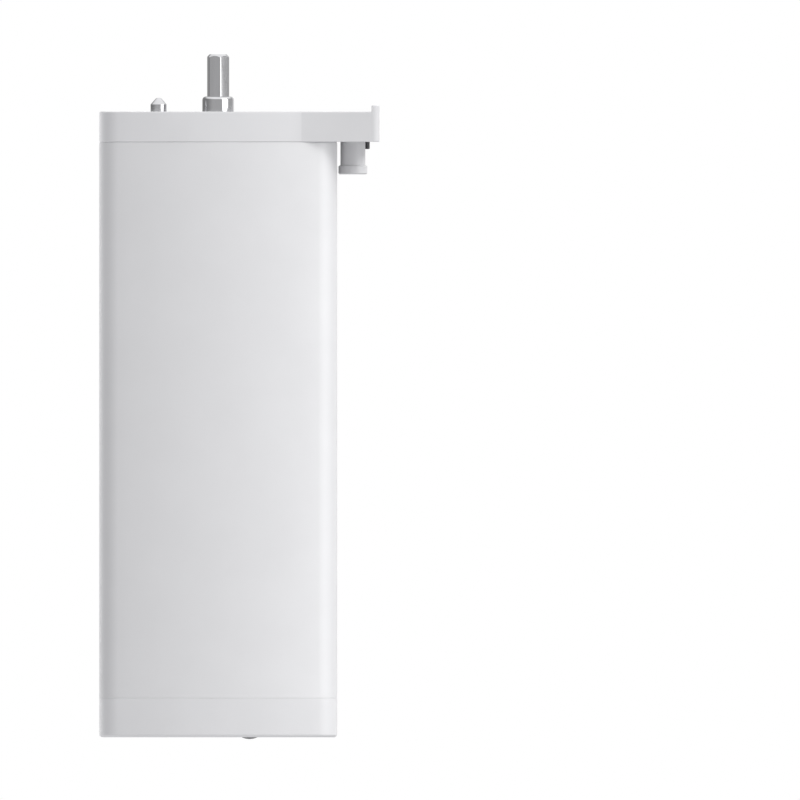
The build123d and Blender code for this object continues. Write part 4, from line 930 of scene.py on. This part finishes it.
@dataclass
class Surroundings:
    """The world: plain white to the camera, shades of grey to metal, and a soft light on the rest.

    An edge is the place where a soft step is half way, and its spread on each side.
    """

    ambient_front: float = 0.6
    ambient_below: float = 1.0
    ambient_back: float = 0.22
    ambient_above: float = 0.2
    ambient_color: Color = (0.99, 0.99, 1.01)
    front_azimuth: float = -25.85
    front_edge: Edge = (-0.35, 0.45)
    below_edge: Edge = (-0.3, 0.15)
    overhead_edge: Edge = (0.55, 0.15)
    mirror_front: float = 0.54
    mirror_behind: float = 1.0
    mirror_overhead: float = 1.28
    mirror_flag: float = 0.27
    behind_azimuth: float = 158.84
    behind_edge: Edge = (0.9025, 0.0802)
    flag_azimuth: float = -120.0
    flag_edge: Edge = (0.55, 0.5)
    panel_azimuth: float = 53.5
    panel_strength: float = 2.3
    panel_side_edge: Edge = (0.925, 0.012)
    panel_foot_edge: Edge = (-0.45, 0.1)
    panel_top_edge: Edge = (0.75, 0.15)

    def mirrored(self, ray: Ray) -> Term:
        """What metal mirrors: a grey front, a white back and top, a dark flag and a bright panel.

        Args:
            ray: the mirrored ray.

        Returns:
            The strength in the ray's direction.
        """
        behind = ray.toward(self.behind_azimuth).above(*self.behind_edge)
        overhead = ray.up.above(*self.overhead_edge)
        flagged = ray.toward(self.flag_azimuth).above(*self.flag_edge)
        beside = (ray.toward(self.panel_azimuth) / ray.level()).above(*self.panel_side_edge)
        panel = beside * ray.up.above(*self.panel_foot_edge) * ray.up.below(*self.panel_top_edge)
        return (
            behind * (self.mirror_behind - self.mirror_front)
            + overhead * (self.mirror_overhead - self.mirror_front)
            + flagged * (self.mirror_flag - self.mirror_front)
            + panel * self.panel_strength
            + self.mirror_front
        )

    def ambient(self, ray: Ray) -> Term:
        """The soft light on the object: strong from the front and from below it, weak from elsewhere.

        Args:
            ray: a ray from a matt surface.

        Returns:
            The strength in the ray's direction.
        """
        facing = ray.toward(self.front_azimuth).above(*self.front_edge)
        below = ray.up.below(*self.below_edge)
        overhead = ray.up.above(*self.overhead_edge)
        front = below * (self.ambient_below - self.ambient_front) + self.ambient_front
        level = facing * (front - self.ambient_back) + self.ambient_back
        return level + overhead * (self.ambient_above - level)

    def build(self) -> None:
        """Makes the world."""
        world = bpy.data.worlds.new("studio")
        bpy.context.scene.world = world
        world.use_nodes = True
        graph = Graph(world.node_tree)
        path = graph.node("ShaderNodeLightPath")
        seen = Term(graph, path.outputs["Is Camera Ray"])
        glossy = Term(graph, path.outputs["Is Glossy Ray"])
        through = Term(graph, path.outputs["Is Transmission Ray"])
        rest = (1.0 - seen - glossy - through).math("MAXIMUM", 0.0)
        ray = Ray(*graph.split(graph.node("ShaderNodeTexCoord").outputs["Generated"]))
        strength = seen + through + glossy * self.mirrored(ray) + rest * self.ambient(ray)
        color = graph.blend(rest, WHITE, self.ambient_color)
        background = graph.node("ShaderNodeBackground", inputs={"Color": color, "Strength": strength})
        graph.node("ShaderNodeOutputWorld", inputs={"Surface": background})


@dataclass
class Floor:
    """A pale floor that fades into the white behind it."""

    side: float = 8.0
    gap: float = 0.3 * MM
    fade_start: float = 0.10
    fade_end: float = 0.55
    color: Color = (0.75, 0.75, 0.755)
    cloud_color: Color = (0.72, 0.72, 0.725)
    cloud_size: float = 0.03
    cloud_share: float = 0.15

    def build(self, low: Vector) -> None:
        """Lays the floor.

        Args:
            low: the object's lowest corner, which stands just above the floor.
        """
        mesh = bmesh.new()
        place = Matrix.Translation((0.0, 0.0, low.z - self.gap))
        bmesh.ops.create_grid(mesh, x_segments=1, y_segments=1, size=self.side / 2, matrix=place)
        made = mesh_object("floor", mesh)
        made.data.materials.append(self.material())
        made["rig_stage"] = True

    def material(self) -> bpy.types.Material:
        """Makes the floor's material.

        Returns:
            A matt grey near the object, white far off, and clear to all but the camera above it.
        """
        made = bpy.data.materials.new("pale_floor")
        made.use_nodes = True
        graph = Graph(made.node_tree)
        clouds = graph.noise(self.cloud_size) * self.cloud_share
        grey = graph.blend(clouds, self.color, self.cloud_color)
        matt = graph.node("ShaderNodeBsdfDiffuse", inputs={"Color": grey})
        glow = graph.node("ShaderNodeEmission", inputs={"Color": (*WHITE, 1.0), "Strength": 1.0})
        middle = (self.fade_start + self.fade_end) / 2
        fade = graph.radius().above(middle, (self.fade_end - self.fade_start) / 2)
        surface = graph.node("ShaderNodeMixShader", inputs={0: fade, 1: matt, 2: glow})
        # The floor throws no light back at the object, and a view from below looks through it
        camera = Term(graph, graph.node("ShaderNodeLightPath").outputs["Is Camera Ray"])
        under = Term(graph, graph.node("ShaderNodeNewGeometry").outputs["Backfacing"])
        unseen = under.math("MAXIMUM", 1.0 - camera)
        clear = graph.node("ShaderNodeBsdfTransparent")
        shown = graph.node("ShaderNodeMixShader", inputs={0: unseen, 1: surface, 2: clear})
        graph.node("ShaderNodeOutputMaterial", inputs={"Surface": shown})
        return made


@dataclass
class Studio:
    """The lamps, the camera, the surroundings and the floor."""

    lamps: tuple[Lamp, ...] = (
        Lamp("key_lamp", azimuth=57.0, elevation=50.0, distance=8.0, width=4.6, height=4.6, power=628.0),
        Lamp("rim_lamp", azimuth=-140.0, elevation=8.0, distance=1.2, width=0.5, height=0.8, power=15.5),
        Lamp("side_lamp", azimuth=112.0, elevation=8.0, distance=1.2, width=0.5, height=0.8, power=2.6),
    )

    def build(self, low: Vector, high: Vector) -> None:
        """Sets the whole studio round the object.

        Args:
            low: the object's lowest corner.
            high: the object's highest corner.
        """
        middle = (low + high) / 2
        for lamp in self.lamps:
            lamp.build(middle)
        Camera().build()
        Surroundings().build()
        Floor().build(low)
        bpy.context.scene.view_settings.view_transform = "Standard"


def main() -> None:
    """Loads the frame, dresses every piece and sets the studio."""
    logging.basicConfig(level=logging.INFO, format="%(name)s: %(message)s")
    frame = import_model()
    shop = Workshop(frame)
    for assembly in (Housing(), Drive(), Inlet(), Controls()):
        assembly.build(shop)
        log.info("%s is built", type(assembly).__name__)
    low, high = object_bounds()
    Studio().build(low, high)


if __name__ == "__main__":
    main()
